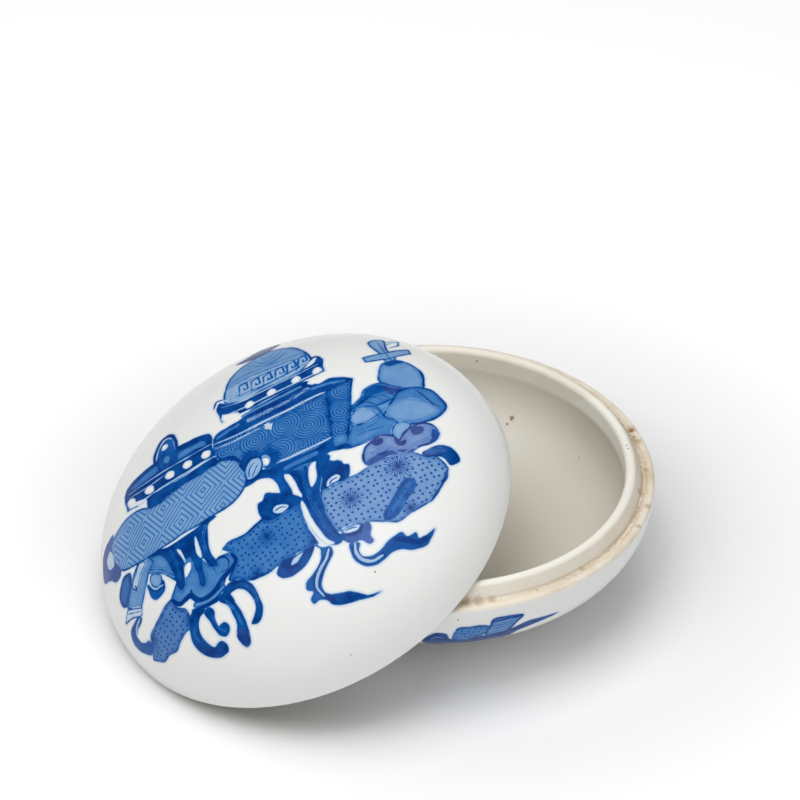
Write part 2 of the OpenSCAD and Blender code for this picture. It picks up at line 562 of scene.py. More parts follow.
# Iron spots in the glaze and smudges on the bare ledge, as a pixel and a radius in mm.
BOWL_SPOTS = (
    (512, 418, 0.75), (507, 424, 0.4), (579, 458, 0.25), (626.5, 445.5, 0.3), (628, 448.5, 0.3),
    (631, 431, 0.9), (634, 437, 0.5), (477, 361, 0.35), (458, 620, 0.3))
BOWL_SMUDGES = (
    (466, 603, 1.6), (478, 602, 1.6), (492, 600, 1.1), (632, 429, 1.6), (637, 441, 1.2), (646, 470, 0.8),
    (640, 492, 1.2), (648, 506, 1.1), (638, 526, 0.9), (582, 569, 0.8), (537, 590, 0.5))
COVER_SPOTS = ((375, 572, 0.3), (351, 655, 0.22))


def paint_scrolls(b):
    """Three rolled scrolls with dots and star bursts, tied together."""
    right_scroll = (
        (322, 490), (330, 484), (345, 479), (358, 474), (367, 468), (375, 462), (387, 458), (400, 453),
        (412, 452), (424, 456), (436, 457), (443, 462), (448, 468), (448, 468), (447, 477), (440, 487),
        (432, 500), (432, 500), (420, 507), (410, 513), (398, 521), (385, 521), (370, 521), (360, 523),
        (350, 527), (343, 530), (335, 530), (328, 520), (324, 508), (321, 498))
    b.fill(0.52, right_scroll, pattern="dots", edge=0.3, violet=0.2)
    right_shade = (
        (404, 482), (409, 479), (414, 482), (412, 489), (406, 498), (400, 508), (394, 516), (386, 519),
        (386, 512), (392, 503), (398, 492))
    b.fill(0.76, right_shade, edge=0.0, pattern="dots")
    left_scroll = (
        (223, 549), (228, 543), (238, 538), (248, 533), (255, 525), (262, 520), (272, 518), (290, 508),
        (302, 500), (303, 515), (306, 525), (312, 535), (318, 543), (318, 543), (312, 548), (305, 552),
        (295, 556), (285, 562), (277, 566), (270, 572), (262, 576), (248, 580), (240, 579), (230, 580),
        (236, 562), (232, 553))
    b.fill(0.68, left_scroll, pattern="dots", edge=0.3)
    low_scroll = (
        (171, 600), (165, 607), (160, 617), (155, 627), (151, 636), (152, 645), (154, 660), (154, 660),
        (165, 661), (169, 655), (177, 650), (181, 640), (186, 632), (191, 628), (190, 618), (186, 610),
        (177, 608))
    b.fill(0.66, low_scroll, pattern="dots", edge=0.3, violet=0.2)
    left_top_edge = ((300, 505), (280, 512), (262, 520), (254, 527), (246, 534), (232, 541))
    b.line(0.5, left_top_edge, taper=0.8)
    left_low_edge = ((248, 579), (262, 575), (276, 567))
    b.line(0.5, left_low_edge, taper=0.8)
    right_end_edge = ((447, 470), (444, 480), (434, 497), (431, 501))
    b.line(0.45, right_end_edge, taper=0.3)
    bursts = (
        ((351, 499), 17), ((398, 466), 19), ((411, 508), 14), ((267, 536), 17), ((302, 502), 15),
        ((314, 542), 15), ((257, 574), 15), ((191, 620), 15), ((153, 639), 11), ((229, 553), 9))
    for centre, radius in bursts:
        b.mark("burst", centre, radius)


def paint_fruit(b):
    """Round fruit with leaves, a fungus and a fret sprig."""
    shade_between = ((366, 414), (378, 401), (392, 396), (397, 404), (384, 419))
    b.fill(0.5, shade_between, edge=0.2)
    sprig_stem = ((371, 341), (379, 340), (387, 351), (395, 359), (389, 363), (381, 355))
    b.fill(0.42, sprig_stem, edge=0.36)
    sprig_cross = ((363, 358), (385, 353), (408, 350), (410, 354), (388, 359), (366, 362))
    b.fill(0.42, sprig_cross, edge=0.38, sharp=True)
    sprig_hook = ((386, 345), (398, 342), (398, 346), (390, 348))
    b.line(0.3, sprig_hook, sharp=True)
    sprig_tip = ((386, 343), (394, 341))
    b.line(0.3, sprig_tip, sharp=True)
    sprig_vein = ((376, 341), (386, 354), (392, 361))
    b.line(0.3, sprig_vein, ink="fine")
    top_fruit = (
        (384, 363), (393, 361), (404, 362), (411, 365), (418, 370), (422, 377), (422, 388), (410, 389),
        (395, 387), (382, 384), (379, 380), (379, 373))
    b.fill(0.5, top_fruit, edge=0.32)
    top_cap = ((383, 364), (389, 361), (397, 360), (405, 362), (397, 364), (388, 366))
    b.fill(0.95, top_cap)
    top_shade = ((419, 369), (423, 377), (423, 388))
    b.line(0.5, top_shade, taper=0.9)
    leaf = (
        (349, 412), (354, 404), (360, 398), (364, 390), (372, 385), (380, 383), (392, 386), (410, 389),
        (424, 390), (408, 393), (394, 398), (380, 404), (366, 409))
    b.fill(0.62, leaf, edge=0.3)
    leaf_shade = (
        (350, 411), (356, 403), (362, 396), (366, 389), (374, 385), (386, 386), (400, 389), (410, 390),
        (398, 393), (384, 392), (372, 396), (362, 404))
    b.fill(0.88, leaf_shade)
    leaf_dark = ((384, 387), (396, 388), (408, 390), (398, 393), (388, 392))
    b.fill(0.95, leaf_dark, violet=0.5)
    vein_starts = ((358, 406), (365, 401), (372, 399), (379, 397))
    vein = ((0, 0), (7, -4), (14, -3), (19, 1))
    for x, y in vein_starts:
        b.line(0.3, [(x + u, y + v) for u, v in vein], taper=0.8)
    right_fruit = (
        (400, 391), (422, 388), (432, 391), (440, 398), (446, 406), (443, 412), (437, 417), (428, 421),
        (410, 424), (392, 421), (384, 416), (388, 408), (392, 401))
    b.fill(0.66, right_fruit, edge=0.42)
    right_light = (
        (386, 413), (391, 404), (400, 400), (418, 399), (430, 403), (438, 410), (432, 415), (420, 420),
        (404, 421), (391, 418))
    b.fill(0.48, right_light, edge=0.16)
    right_fold = ((413, 388), (424, 396), (434, 404), (444, 408))
    b.line(0.4, right_fold, taper=0.7)
    left_fruit = (
        (350, 412), (349, 430), (347, 444), (347, 444), (336, 447), (348, 448), (358, 445), (368, 441),
        (375, 436), (392, 435), (396, 421), (385, 417), (376, 407), (362, 407))
    b.fill(0.62, left_fruit, edge=0.3)
    left_light = ((350, 414), (358, 410), (372, 410), (376, 413), (370, 420), (354, 424))
    b.fill(0.42, left_light, edge=0.16)
    left_lines = (
        ((350, 428), (362, 424), (378, 414), (388, 404)), ((354, 432), (368, 427), (384, 418)),
        ((349, 440), (362, 433), (378, 428), (394, 424)), ((372, 410), (380, 418), (382, 428)))
    for line in left_lines:
        b.line(0.3, line, taper=0.8)
    small_fruit = ((394, 436), (396, 424), (402, 422), (410, 424), (406, 432), (400, 440))
    b.fill(0.4, small_fruit, edge=0.25)
    fungus = (
        (364, 452), (366, 447), (370, 443), (376, 437), (386, 435), (393, 436), (399, 440), (404, 433),
        (412, 427), (423, 423), (432, 425), (438, 431), (437, 438), (430, 443), (420, 446), (412, 451),
        (398, 452), (388, 455), (378, 460), (368, 465), (364, 460))
    b.fill(0.52, fungus, edge=0.45, violet=0.5)
    fungus_spots = (
        ((371, 442), (377, 437), (383, 438), (382, 444), (375, 446)),
        ((394, 437), (400, 441), (406, 439), (404, 446), (398, 446)),
        ((410, 430), (417, 426), (424, 427), (422, 433), (414, 435)))
    for spot in fungus_spots:
        b.fill(0.92, spot, violet=0.8)
    fungus_end = ((433, 428), (440, 433), (436, 439), (430, 442), (431, 436))
    b.fill(0.9, fungus_end, violet=0.3)
    fungus_underside = (
        (366, 464), (376, 455), (392, 450), (408, 449), (418, 448), (410, 453), (396, 454), (386, 457),
        (376, 463), (368, 466))
    b.fill(0.88, fungus_underside, violet=0.55)
    fungus_vein = ((366, 452), (380, 453), (392, 447))
    b.line(0.3, fungus_vein, ink="fine")
    fungus_fold = ((375, 453), (385, 447), (394, 450), (402, 453), (412, 448), (422, 442), (431, 438))
    b.fill(0.52, fungus_fold, width=0.5, edge=0.0, violet=0.5)
    stalk = (
        (422, 454), (430, 448), (440, 445), (450, 447), (457, 453), (460, 461), (456, 464), (450, 465),
        (446, 460), (442, 457), (434, 457), (426, 457))
    b.fill(0.95, stalk)
    stalk_light = ((424, 454), (431, 449), (441, 447), (446, 450), (436, 454))
    b.fill(0.74, stalk_light, violet=0.3, edge=0.0)


def paint_straps(b):
    """The censer's legs, the cords round the scrolls and the hooked leaves."""
    left_cord = (
        (240, 488), (246, 487), (252, 484), (258, 480), (268, 478), (275, 481), (279, 488), (281, 494),
        (288, 498), (296, 503), (302, 501), (296, 493), (290, 483), (286, 474), (275, 469), (262, 470),
        (252, 476), (242, 479))
    b.fill(0.9, left_cord)
    main_cord = (
        (284, 473), (292, 466), (304, 462), (322, 453), (330, 456), (324, 468), (321, 480), (320, 490),
        (321, 500), (324, 508), (328, 517), (334, 526), (340, 534), (344, 538), (342, 542), (330, 545),
        (320, 539), (312, 530), (305, 519), (299, 505), (291, 490))
    b.fill(0.93, main_cord)
    main_light = ((300, 466), (304, 480), (309, 494), (315, 508), (323, 522), (333, 534))
    b.fill(0.74, main_light, width=0.9, edge=0.0)
    top_light = ((296, 468), (308, 463), (312, 470))
    b.fill(0.62, top_light, width=1.1, edge=0.0)
    right_leaf = (
        (322, 482), (322, 470), (326, 462), (330, 460), (333, 461), (338, 460), (341, 461), (344, 464),
        (348, 464), (350, 470), (349, 476), (345, 480), (340, 482), (334, 484), (326, 489), (321, 490))
    b.fill(0.95, right_leaf)
    left_gap = ((285, 474), (289, 474), (294, 480), (299, 489), (302, 497), (298, 499), (291, 488))
    b.clear(left_gap)
    long_gap = (
        (301, 499), (306, 506), (312, 518), (320, 530), (328, 539), (335, 543), (328, 545), (320, 539),
        (312, 530), (305, 519))
    b.clear(long_gap)
    right_gap = (
        (309, 468), (312, 463), (315, 461), (316, 468), (317, 476), (315, 483), (312, 487), (309, 480))
    b.clear(right_gap)
    right_eye = ((327, 487), (327, 481), (331, 477), (337, 474), (341, 476), (339, 480), (332, 484))
    b.fill(0.14, right_eye, edge=0.2)
    right_eye_line = ((329, 485), (332, 480), (338, 477))
    b.line(0.3, right_eye_line, ink="fine")
    left_leaf = (
        (281, 493), (272, 493), (266, 493), (262, 501), (258, 504), (258, 510), (260, 516), (264, 520),
        (272, 521), (278, 517), (290, 509), (298, 504), (302, 500), (292, 494))
    b.fill(0.95, left_leaf)
    left_eye = ((272, 511), (275, 506), (282, 504), (289, 506), (285, 511), (277, 514))
    b.fill(0.16, left_eye, edge=0.2)
    left_eye_line = ((275, 511), (281, 507), (287, 507))
    b.line(0.3, left_eye_line, ink="fine")


def paint_knot(b):
    """The cord's knot over the corner of the censer."""
    right_loop = ((276, 449), (268, 447), (262, 452), (258, 460), (262, 467), (270, 468), (276, 464))
    b.fill(0.9, right_loop)
    right_light = ((259, 460), (264, 455), (270, 458), (268, 465), (262, 466))
    b.fill(0.4, right_light, edge=0.0)
    right_hole = ((263, 459), (267, 458), (269, 462), (266, 465), (263, 463))
    b.clear(right_hole)
    left_loop = (
        (240, 462), (244, 454), (252, 450), (260, 452), (262, 462), (262, 472), (256, 480), (246, 484),
        (240, 484), (242, 474))
    b.fill(0.93, left_loop)
    left_light = (
        (246, 477), (247, 466), (252, 459), (259, 458), (262, 463), (260, 471), (254, 478), (248, 480))
    b.fill(0.3, left_light, edge=0.28)
    left_lines = (((249, 477), (250, 468), (255, 462)), ((252, 477), (255, 470), (258, 463)))
    for line in left_lines:
        b.line(0.3, line, ink="fine")


def paint_ribbons(b):
    """Two dark ribbons that fly out to the right, and the loop between them."""
    upper_ribbon = (
        (350, 543), (351, 553), (357, 562), (366, 566), (376, 565), (385, 559), (393, 552), (403, 549),
        (412, 550), (420, 548), (427, 545), (431, 539), (435, 528), (430, 532), (424, 536), (419, 538),
        (416, 532), (412, 534), (407, 536), (402, 532), (396, 535), (389, 540), (383, 547), (377, 553),
        (370, 556), (363, 556), (359, 551), (360, 543))
    b.fill(0.88, upper_ribbon)
    upper_light = ((355, 543), (356, 552), (362, 559), (372, 561), (383, 555))
    b.line(0.6, upper_light, ink="pale")
    upper_fold = ((396, 539), (406, 540), (418, 542), (428, 537))
    b.line(0.4, upper_fold, taper=0.6)
    lower_ribbon = (
        (312, 542), (322, 547), (331, 547), (333, 553), (330, 560), (326, 568), (323, 577), (322, 586),
        (325, 592), (340, 593), (350, 591), (360, 593), (368, 595), (382, 591), (376, 595), (368, 598),
        (360, 600), (350, 603), (340, 605), (332, 604), (326, 600), (320, 600), (314, 604), (311, 600),
        (313, 592), (307, 590), (306, 584), (312, 575), (318, 566), (321, 556), (318, 549))
    b.fill(0.88, lower_ribbon)
    lower_shade = (
        (322, 593), (336, 596), (350, 594), (362, 596), (372, 596), (360, 599), (348, 602), (336, 603),
        (326, 599))
    b.fill(0.97, lower_shade)
    lower_light = ((329, 549), (326, 559), (321, 568), (317, 579), (317, 587), (324, 596))
    b.line(0.5, lower_light, ink="pale")
    loop = (
        (283, 560), (279, 566), (277, 574), (282, 578), (290, 577), (297, 573), (305, 566), (311, 557),
        (314, 545), (306, 548), (296, 555))
    b.fill(0.96, loop)
    loop_light = ((291, 565), (293, 559), (299, 554), (304, 551), (301, 557), (297, 563))
    b.fill(0.2, loop_light, edge=0.2)
    loop_gap = ((316, 547), (320, 549), (320, 556), (316, 566), (310, 572), (312, 562), (313, 554))
    b.clear(loop_gap)
    bow = (
        (357, 522), (363, 523), (368, 521), (371, 525), (371, 535), (374, 541), (370, 544), (362, 540),
        (352, 543), (343, 540), (340, 534), (346, 534), (356, 530))
    b.fill(0.84, bow, violet=0.5)
    bow_eye = ((342, 532), (346, 528), (354, 525), (360, 524), (359, 529), (351, 533))
    b.fill(0.14, bow_eye, edge=0.22)
    bow_eye_line = ((345, 531), (351, 528), (357, 527))
    b.line(0.3, bow_eye_line, ink="fine")


def paint_censer(b):
    """The large square censer with a domed lid and rows of curls."""
    lid_top = (
        (236, 365), (246, 359), (256, 353), (266, 348), (280, 344.5), (272, 350), (262, 356), (250, 361),
        (242, 364))
    b.fill(0.96, lid_top, violet=0.85)
    lid = (
        (225, 403), (224.5, 396), (226, 390), (228, 384), (231, 378.5), (236, 373), (242, 367.5),
        (248, 363.5), (254, 359.5), (262, 355.5), (270, 351.5), (278, 349.5), (286, 348.2), (293, 348),
        (299, 349.5), (305, 352.5), (309, 356), (311, 359), (311, 359), (300, 371), (280, 382),
        (262, 390), (245, 401))
    b.fill(0.48, lid, edge=0.4)
    fret_band = (
        (228, 391), (240, 383), (262, 373), (285, 364), (306, 356), (309, 360), (300, 370), (280, 381),
        (262, 389), (245, 400), (228, 403), (228, 403))
    b.fill(0.32, fret_band, edge=0.0)
    key_places = ((244, 389), (256, 384), (268, 379), (280, 373), (292, 367), (303, 361))
    key = ((-5, -5), (-4, 4), (3, 5), (4, -1), (0, -1), (0, 1.5))
    for x, y in key_places:
        b.line(0.42, [(x + u - 0.2 * v, y - 0.47 * u - v) for u, v in key], ink="fine", sharp=True)
    fret_edge = ((238, 396), (262, 386), (286, 374), (308, 362))
    b.line(0.35, fret_edge, ink="fine")
    short_line = ((229, 394), (238, 389))
    for shift in (0, 3, 6):
        b.line(0.3, [(x, y + shift) for x, y in short_line], ink="fine")
    fret_lines = (
        ((234, 399), (250, 393), (272, 382), (300, 367)), ((236, 387), (262, 375), (286, 365)),
        ((283, 377), (287, 370), (285, 366)), ((296, 371), (298, 365), (296, 362)))
    for line in fret_lines:
        b.line(0.3, line, ink="fine")
    lid_lines = (
        ((229, 386), (240, 378), (262, 368), (285, 359), (305, 352)),
        ((228, 390), (240, 382), (262, 372), (285, 363), (306, 356)),
        ((248, 366), (262, 366), (276, 360), (286, 352)),
        ((254, 362), (264, 363), (276, 356), (282, 350)), ((260, 358), (266, 359), (274, 354)))
    for line in lid_lines:
        b.line(0.3, line, ink="fine")
    rim = (
        (216, 410), (219, 404), (226, 404), (245, 401), (262, 391), (280, 382), (300, 371), (314, 363),
        (318, 357), (322, 358), (323, 366), (325, 371), (325, 371), (310, 378), (290, 388), (270, 398),
        (250, 409), (233, 417), (222, 423), (222, 423), (218, 414))
    b.fill(0.95, rim)
    left_lug_gap = ((213, 412), (216, 404), (222, 400), (226, 401))
    b.clear(left_lug_gap, width=0.3)
    left_lug = ((214, 409), (217, 402), (224, 400))
    b.line(0.35, left_lug)
    right_lug = ((310, 361), (314, 357), (320, 357))
    b.line(0.45, right_lug)
    rim_holes = ((249.5, 405), (271.5, 392.5), (296, 380), (317, 371))
    hole = ((-5, 1), (-3, 3.5), (3, 1), (5, -2), (0, -4))
    for x, y in rim_holes:
        b.clear([(x + u, y + v) for u, v in hole])
    rim_light = ((221, 408), (240, 402), (262, 391.5), (280, 382.5), (300, 373), (318, 364))
    b.line(0.3, rim_light, ink="pale")
    rim_edge = ((222, 417), (236, 411), (250, 405), (270, 395), (290, 385.5), (310, 376), (323, 370))
    b.line(0.42, rim_edge, ink="pale")
    neck = (
        (213, 440), (216, 435), (228, 427), (241, 419), (248, 412), (270, 399), (290, 388), (306, 381),
        (318, 384), (330, 378), (340, 377), (352, 378), (352, 378), (331, 391), (325, 394), (305, 403),
        (290, 411), (270, 420), (248, 431), (230, 440), (213, 448), (213, 448))
    b.fill(0.96, neck)
    left_neck_gap = ((221, 420), (222, 415), (238, 412), (242, 416), (236, 420), (226, 425))
    b.clear(left_neck_gap, sharp=True)
    right_neck_gap = ((307, 384), (309, 380), (324, 373), (334, 376), (322, 381), (312, 385))
    b.clear(right_neck_gap, sharp=True)
    upper_light = ((243, 416), (262, 406), (282, 396), (300, 387))
    b.fill(0.5, upper_light, width=0.75, edge=0.0)
    middle_light = ((249, 420), (268, 411), (288, 401), (307, 389))
    b.fill(0.44, middle_light, width=0.8, edge=0.0, violet=0.2)
    lower_light = ((250, 428), (268, 419), (288, 410), (308, 399), (322, 393))
    b.fill(0.6, lower_light, width=0.85, edge=0.0)
    left_light = ((218, 438), (228, 431), (238, 425))
    b.fill(0.62, left_light, width=0.8, edge=0.0)
    right_light = ((312, 389), (326, 384), (344, 381))
    b.fill(0.56, right_light, width=0.8, edge=0.0)
    front = (
        (213, 448), (230, 441), (248, 432), (270, 421), (290, 412), (305, 404), (325, 394), (325, 394),
        (328, 410), (331, 428), (332, 438), (332, 438), (318, 446), (300, 454), (285, 461), (275, 463),
        (258, 464), (240, 465), (228, 460), (217, 458))
    b.fill(0.78, front, edge=0.3)
    front_curls = (
        ((225, 452), 15, -1), ((245, 441), 15, 1), ((244, 458), 14, -1), ((262, 454), 15, -1),
        ((270, 414), 12, 1), ((288, 408), 12, 1), ((305, 401), 13, -1), ((320, 403), 14, -1),
        ((302, 446), 15, 1), ((322, 440), 15, -1), ((328, 420), 15, 1), ((266, 432), 15, 1),
        ((255, 440), 14, 1), ((308, 425), 16, -1), ((284, 425), 14, 1), ((281, 450), 14, 1))
    for centre, radius, turn in front_curls:
        b.mark("curl", centre, radius, turn)
    white_spot = ((265, 427), (267, 423), (271, 424), (270, 429))
    b.fill(0.16, white_spot, edge=0.0)
    front_top = ((213, 445), (230, 438), (248, 429.5), (270, 418.5), (290, 409), (305, 401), (325, 392))
    b.line(0.42, front_top, ink="pale")
    second_top = ((215, 449), (230, 443), (248, 434), (262, 427))
    b.line(0.3, second_top, ink="pale")
    front_foot = ((277, 462.5), (286, 459), (300, 452.5), (318, 444), (332, 437))
    b.line(0.45, front_foot, ink="pale")
    side = (
        (326, 392), (352, 379), (352, 379), (351, 385), (350, 410), (348, 430), (346, 440), (332, 447),
        (332, 447), (330, 425), (328, 405))
    b.fill(0.8, side, edge=0.42)
    side_curls = (((341, 429), 10, 1), ((343, 390), 11, 1), ((341, 411), 12, -1))
    for centre, radius, turn in side_curls:
        b.mark("curl", centre, radius, turn)
    side_foot = ((334, 437), (346, 433), (347, 442), (336, 447))
    b.fill(0.6, side_foot, edge=0.3)
    foot = (
        (270, 468), (276, 464), (286, 461), (300, 455), (318, 447), (333, 440), (334, 446), (347, 443),
        (352, 446), (342, 449), (330, 452), (322, 458), (300, 466), (284, 474), (272, 473))
    b.fill(0.94, foot)
    foot_light = ((286, 468), (300, 461), (316, 453))
    b.fill(0.62, foot_light, width=1.0, edge=0.0)


def paint_vessel(b):
    """The smaller lidded vessel with a lozenge diaper, its handle and its legs."""
    knob_outline = (
        (155, 466), (155, 456), (158, 448), (162, 441), (167, 437), (171, 436), (175, 440), (177, 450))
    b.line(0.85, knob_outline, taper=0.2)
    knob = ((157, 462), (158, 454), (161, 446), (166, 440), (171, 439), (174, 446), (176, 458))
    b.fill(0.85, knob, edge=0.0)
    knob_hole = ((162, 451), (163, 446), (166, 444), (168, 446), (166, 449))
    b.clear(knob_hole)
    lid = (
        (125, 497), (127, 490), (132, 483), (140, 475), (148, 468), (156, 462), (166, 455), (177, 447),
        (185, 443), (195, 438), (203, 435), (209, 434), (212, 437), (212, 446), (216, 454), (200, 464),
        (185, 475), (165, 487), (146, 501), (128, 511), (128, 511), (125, 503))
    b.fill(0.96, lid)
    button = ((160, 462), (164, 452), (172, 448), (178, 453), (178, 460), (170, 465), (163, 468))
    b.fill(0.9, button)
    button_light = ((163, 462), (166, 456), (170, 457), (168, 463))
    b.fill(0.56, button_light, edge=0.0)
    left_light = ((131, 490), (136, 483), (146, 474), (156, 466), (158, 471), (146, 481), (136, 488))
    b.fill(0.66, left_light, edge=0.0)
    right_light = ((178, 459), (179, 453), (190, 447), (204, 441), (206, 444), (194, 450))
    b.fill(0.6, right_light, edge=0.0)
    lid_lines = (
        ((129, 495), (146, 483), (164, 471), (190, 456), (211, 444)),
        ((129, 499), (148, 487), (168, 473)))
    for line in lid_lines:
        b.line(0.26, line, ink="pale")
    lid_holes = ((131.5, 503), (149.5, 490), (170, 475), (187.5, 464.5), (206, 454.5))
    hole = ((-5, 2), (-2, 4.5), (4, 1), (4, -4), (-2, -3))
    for x, y in lid_holes:
        b.clear([(x + u, y + v) for u, v in hole])
    end_gap = ((128, 511), (131, 504), (147, 498), (146, 502))
    b.clear(end_gap, sharp=True)
    end_line = ((125, 497), (127, 504), (128, 511), (138, 506))
    b.line(0.3, end_line, sharp=True)
    lid_edge = ((132, 508), (148, 497), (166, 485), (186, 473), (202, 463), (216, 456))
    b.line(0.42, lid_edge, ink="pale")
    body = (
        (149, 508), (140, 510), (133, 514), (126, 520), (120, 528), (115, 537), (112, 545), (112, 552),
        (114, 560), (118, 567), (122, 570), (135, 565), (147, 558), (160, 549), (172, 541), (185, 532),
        (198, 525), (210, 517), (222, 510), (232, 503), (240, 494), (244, 487), (246, 480), (245, 474),
        (240, 466), (236, 461), (228, 460), (218, 462), (210, 468), (200, 475), (190, 480), (175, 491),
        (160, 503))
    diaper_axis = ((163, 508), (181, 522), (144, 542))
    b.fill(0.44, body, edge=0.35, pattern="diaper", axis=diaper_axis)
    shoulder = (
        (148, 498), (165, 487), (185, 476), (200, 466), (215, 457), (218, 463), (205, 471), (195, 478),
        (180, 487), (165, 498), (156, 506), (149, 509))
    b.fill(0.95, shoulder)
    shoulder_end = ((215, 463), (224, 459), (234, 458), (240, 462))
    b.line(0.9, shoulder_end, taper=0.6)
    handle = (
        (113, 535), (109, 541), (105, 550), (103, 560), (103, 570), (104, 582), (112, 581), (117, 582),
        (121, 575), (121, 570), (115, 562), (112, 552))
    b.fill(0.92, handle, violet=0.45)
    handle_light = ((110, 552), (113, 556), (114, 566), (110, 570), (107, 560))
    b.fill(0.2, handle_light, edge=0.0, violet=0.3)


def paint_feet(b):
    """The vessel's curled legs, its cloud stand, the tag and the roots below."""
    apron = (
        (146, 568), (150, 559), (158, 555), (166, 558), (173, 568), (178, 580), (165, 574), (155, 570))
    b.fill(0.58, apron, edge=0.3)
    cloud = (
        (176, 586), (174, 592), (172, 599), (178, 604), (190, 598), (198, 602), (208, 598), (218, 591),
        (224, 583), (226, 575), (232, 568), (236, 560), (232, 554), (224, 555), (216, 560), (212, 566),
        (204, 562), (196, 556), (186, 558), (182, 572))
    b.fill(0.62, cloud, edge=0.3)
    cloud_edge = (
        (173, 601), (180, 604), (186, 599), (190, 595), (198, 600), (208, 597), (216, 589), (222, 579),
        (230, 570), (236, 560), (232, 554))
    b.line(1.0, cloud_edge, taper=0.3)
    cloud_curl = ((217, 575), (214, 567), (218, 559), (225, 557), (229, 562), (227, 569), (221, 572))
    b.line(0.4, cloud_curl)
    cloud_tick = ((191, 595), (191, 590), (193, 593))
    b.line(0.35, cloud_tick)
    base_light = ((196, 605), (206, 602), (216, 595), (223, 587))
    b.fill(0.5, base_light, width=0.7, edge=0.3)
    base_edge = ((193, 611), (204, 607), (216, 600), (224, 594))
    b.line(0.8, base_edge, taper=0.3)
    tag = (
        (139, 562), (134, 575), (131, 590), (128, 608), (128, 608), (141, 608), (143, 600), (146, 585),
        (149, 572), (153, 562), (148, 558))
    b.fill(0.52, tag, edge=0.32)
    tag_end = ((128, 610), (126, 624), (126, 624), (133, 618), (142, 614), (142, 608), (142, 608))
    b.fill(0.16, tag_end, edge=0.25)
    tag_line = ((127, 615), (142, 611))
    b.line(0.3, tag_line, ink="fine")
    tag_light = ((140, 563), (136, 574), (133, 588), (136, 590), (140, 575), (145, 562))
    b.fill(0.2, tag_light, edge=0.2)
    tag_tick = ((132, 589), (137, 590), (135, 586))
    b.line(0.35, tag_tick)
    far_leaf = (
        (130, 574), (124, 578), (121, 588), (120, 598), (123, 606), (127, 606), (129, 595), (131, 585))
    b.fill(0.78, far_leaf, edge=0.35)
    bead_cord = ((149, 572), (160, 571), (172, 576), (178, 578))
    b.fill(0.5, bead_cord, width=0.5, edge=0.25)
    bead_cup = (
        (147, 585), (149, 592), (152, 598), (156, 600), (162, 595), (165, 590), (163, 580), (160, 586),
        (154, 587))
    b.fill(0.86, bead_cup)
    bead = ((151, 576), (156, 574), (161, 576), (161, 583), (156, 587), (151, 583))
    b.fill(0.42, bead, edge=0.25)
    bead_light = ((150, 586), (156, 589), (163, 585))
    b.line(0.3, bead_light, ink="pale")
    tail = (
        (139, 617), (134, 624), (131, 633), (133, 642), (139, 650), (146, 654), (152, 655), (153, 648),
        (150, 641), (145, 643), (141, 642), (138, 637), (138, 630), (141, 624), (142, 618))
    b.fill(0.9, tail)
    tail_light = ((140, 619), (137, 627), (137, 635), (140, 640))
    b.line(0.5, tail_light, ink="pale")
    legs = (
        (146, 561), (155, 552), (170, 546), (185, 536), (198, 527), (212, 516), (216, 516), (209, 523),
        (208, 535), (209, 546), (212, 555), (217, 561), (218, 565), (213, 567), (207, 563), (203, 558),
        (203, 568), (206, 580), (205, 586), (202, 587), (199, 580), (195, 569), (188, 558), (184, 562),
        (185, 575), (185, 586), (182, 591), (179, 589), (175, 578), (170, 567), (164, 558), (156, 555))
    b.fill(0.96, legs)
    left_leg_light = ((170, 552), (176, 563), (180, 578))
    b.fill(0.76, left_leg_light, width=0.7, edge=0.0)
    right_leg_light = ((205, 526), (203, 538), (206, 552))
    b.fill(0.76, right_leg_light, width=0.6, edge=0.0)
    leg_gaps = (
        ((177, 549), (180, 550), (184, 556), (186, 563), (182, 558)),
        ((185, 566), (190, 562), (191, 568), (186, 577)),
        ((195, 536), (198, 542), (201, 558), (198, 556), (195, 546)))
    for hole in leg_gaps:
        b.clear(hole)
    roots = (
        (
            (193, 610), (190, 620), (190, 632), (193, 643), (199, 651), (207, 656), (216, 658),
            (224, 656), (229, 650), (227, 644), (221, 641), (218, 643), (215, 647), (208, 643),
            (202, 636), (199, 628), (200, 618), (206, 610), (200, 607)),
        (
            (204, 612), (210, 622), (215, 630), (221, 636), (227, 636), (230, 631), (229, 625),
            (225, 622), (221, 624), (218, 627), (215, 620), (214, 610), (208, 607)),
        (
            (219, 600), (228, 606), (233, 615), (237, 624), (237, 634), (240, 642), (248, 647),
            (251, 643), (250, 635), (247, 624), (242, 612), (236, 603), (230, 594), (222, 594)),
        (
            (223, 593), (228, 584), (236, 580), (245, 580), (252, 584), (257, 591), (260, 598),
            (263, 607), (262, 617), (258, 623), (252, 624), (254, 616), (256, 608), (254, 600),
            (250, 594), (245, 590), (238, 589), (232, 592), (229, 596)))
    for root in roots:
        b.fill(0.95, root)
    inner_light = ((213, 616), (219, 628), (225, 631))
    b.fill(0.7, inner_light, width=0.45, edge=0.0)
    middle_light = ((226, 600), (236, 612), (242, 624))
    b.fill(0.7, middle_light, width=0.55, edge=0.0)
    upper_light = ((232, 588), (242, 584), (252, 590), (258, 602))
    b.fill(0.76, upper_light, width=0.5, edge=0.0)
    outer_light = ((195, 620), (195, 634), (202, 646))
    b.fill(0.76, outer_light, width=0.5, edge=0.0)
    middle_tip = ((237, 634), (241, 629), (247, 632), (250, 641), (247, 646), (240, 642))
    b.fill(0.97, middle_tip, violet=0.3)


def cover_ornament(b):
    """Antiques, scrolls and ribbons on the cover, the furthest ones first."""
    for group in (paint_scrolls, paint_fruit, paint_ribbons, paint_straps, paint_censer, paint_knot,
                  paint_feet, paint_vessel):
        group(b)


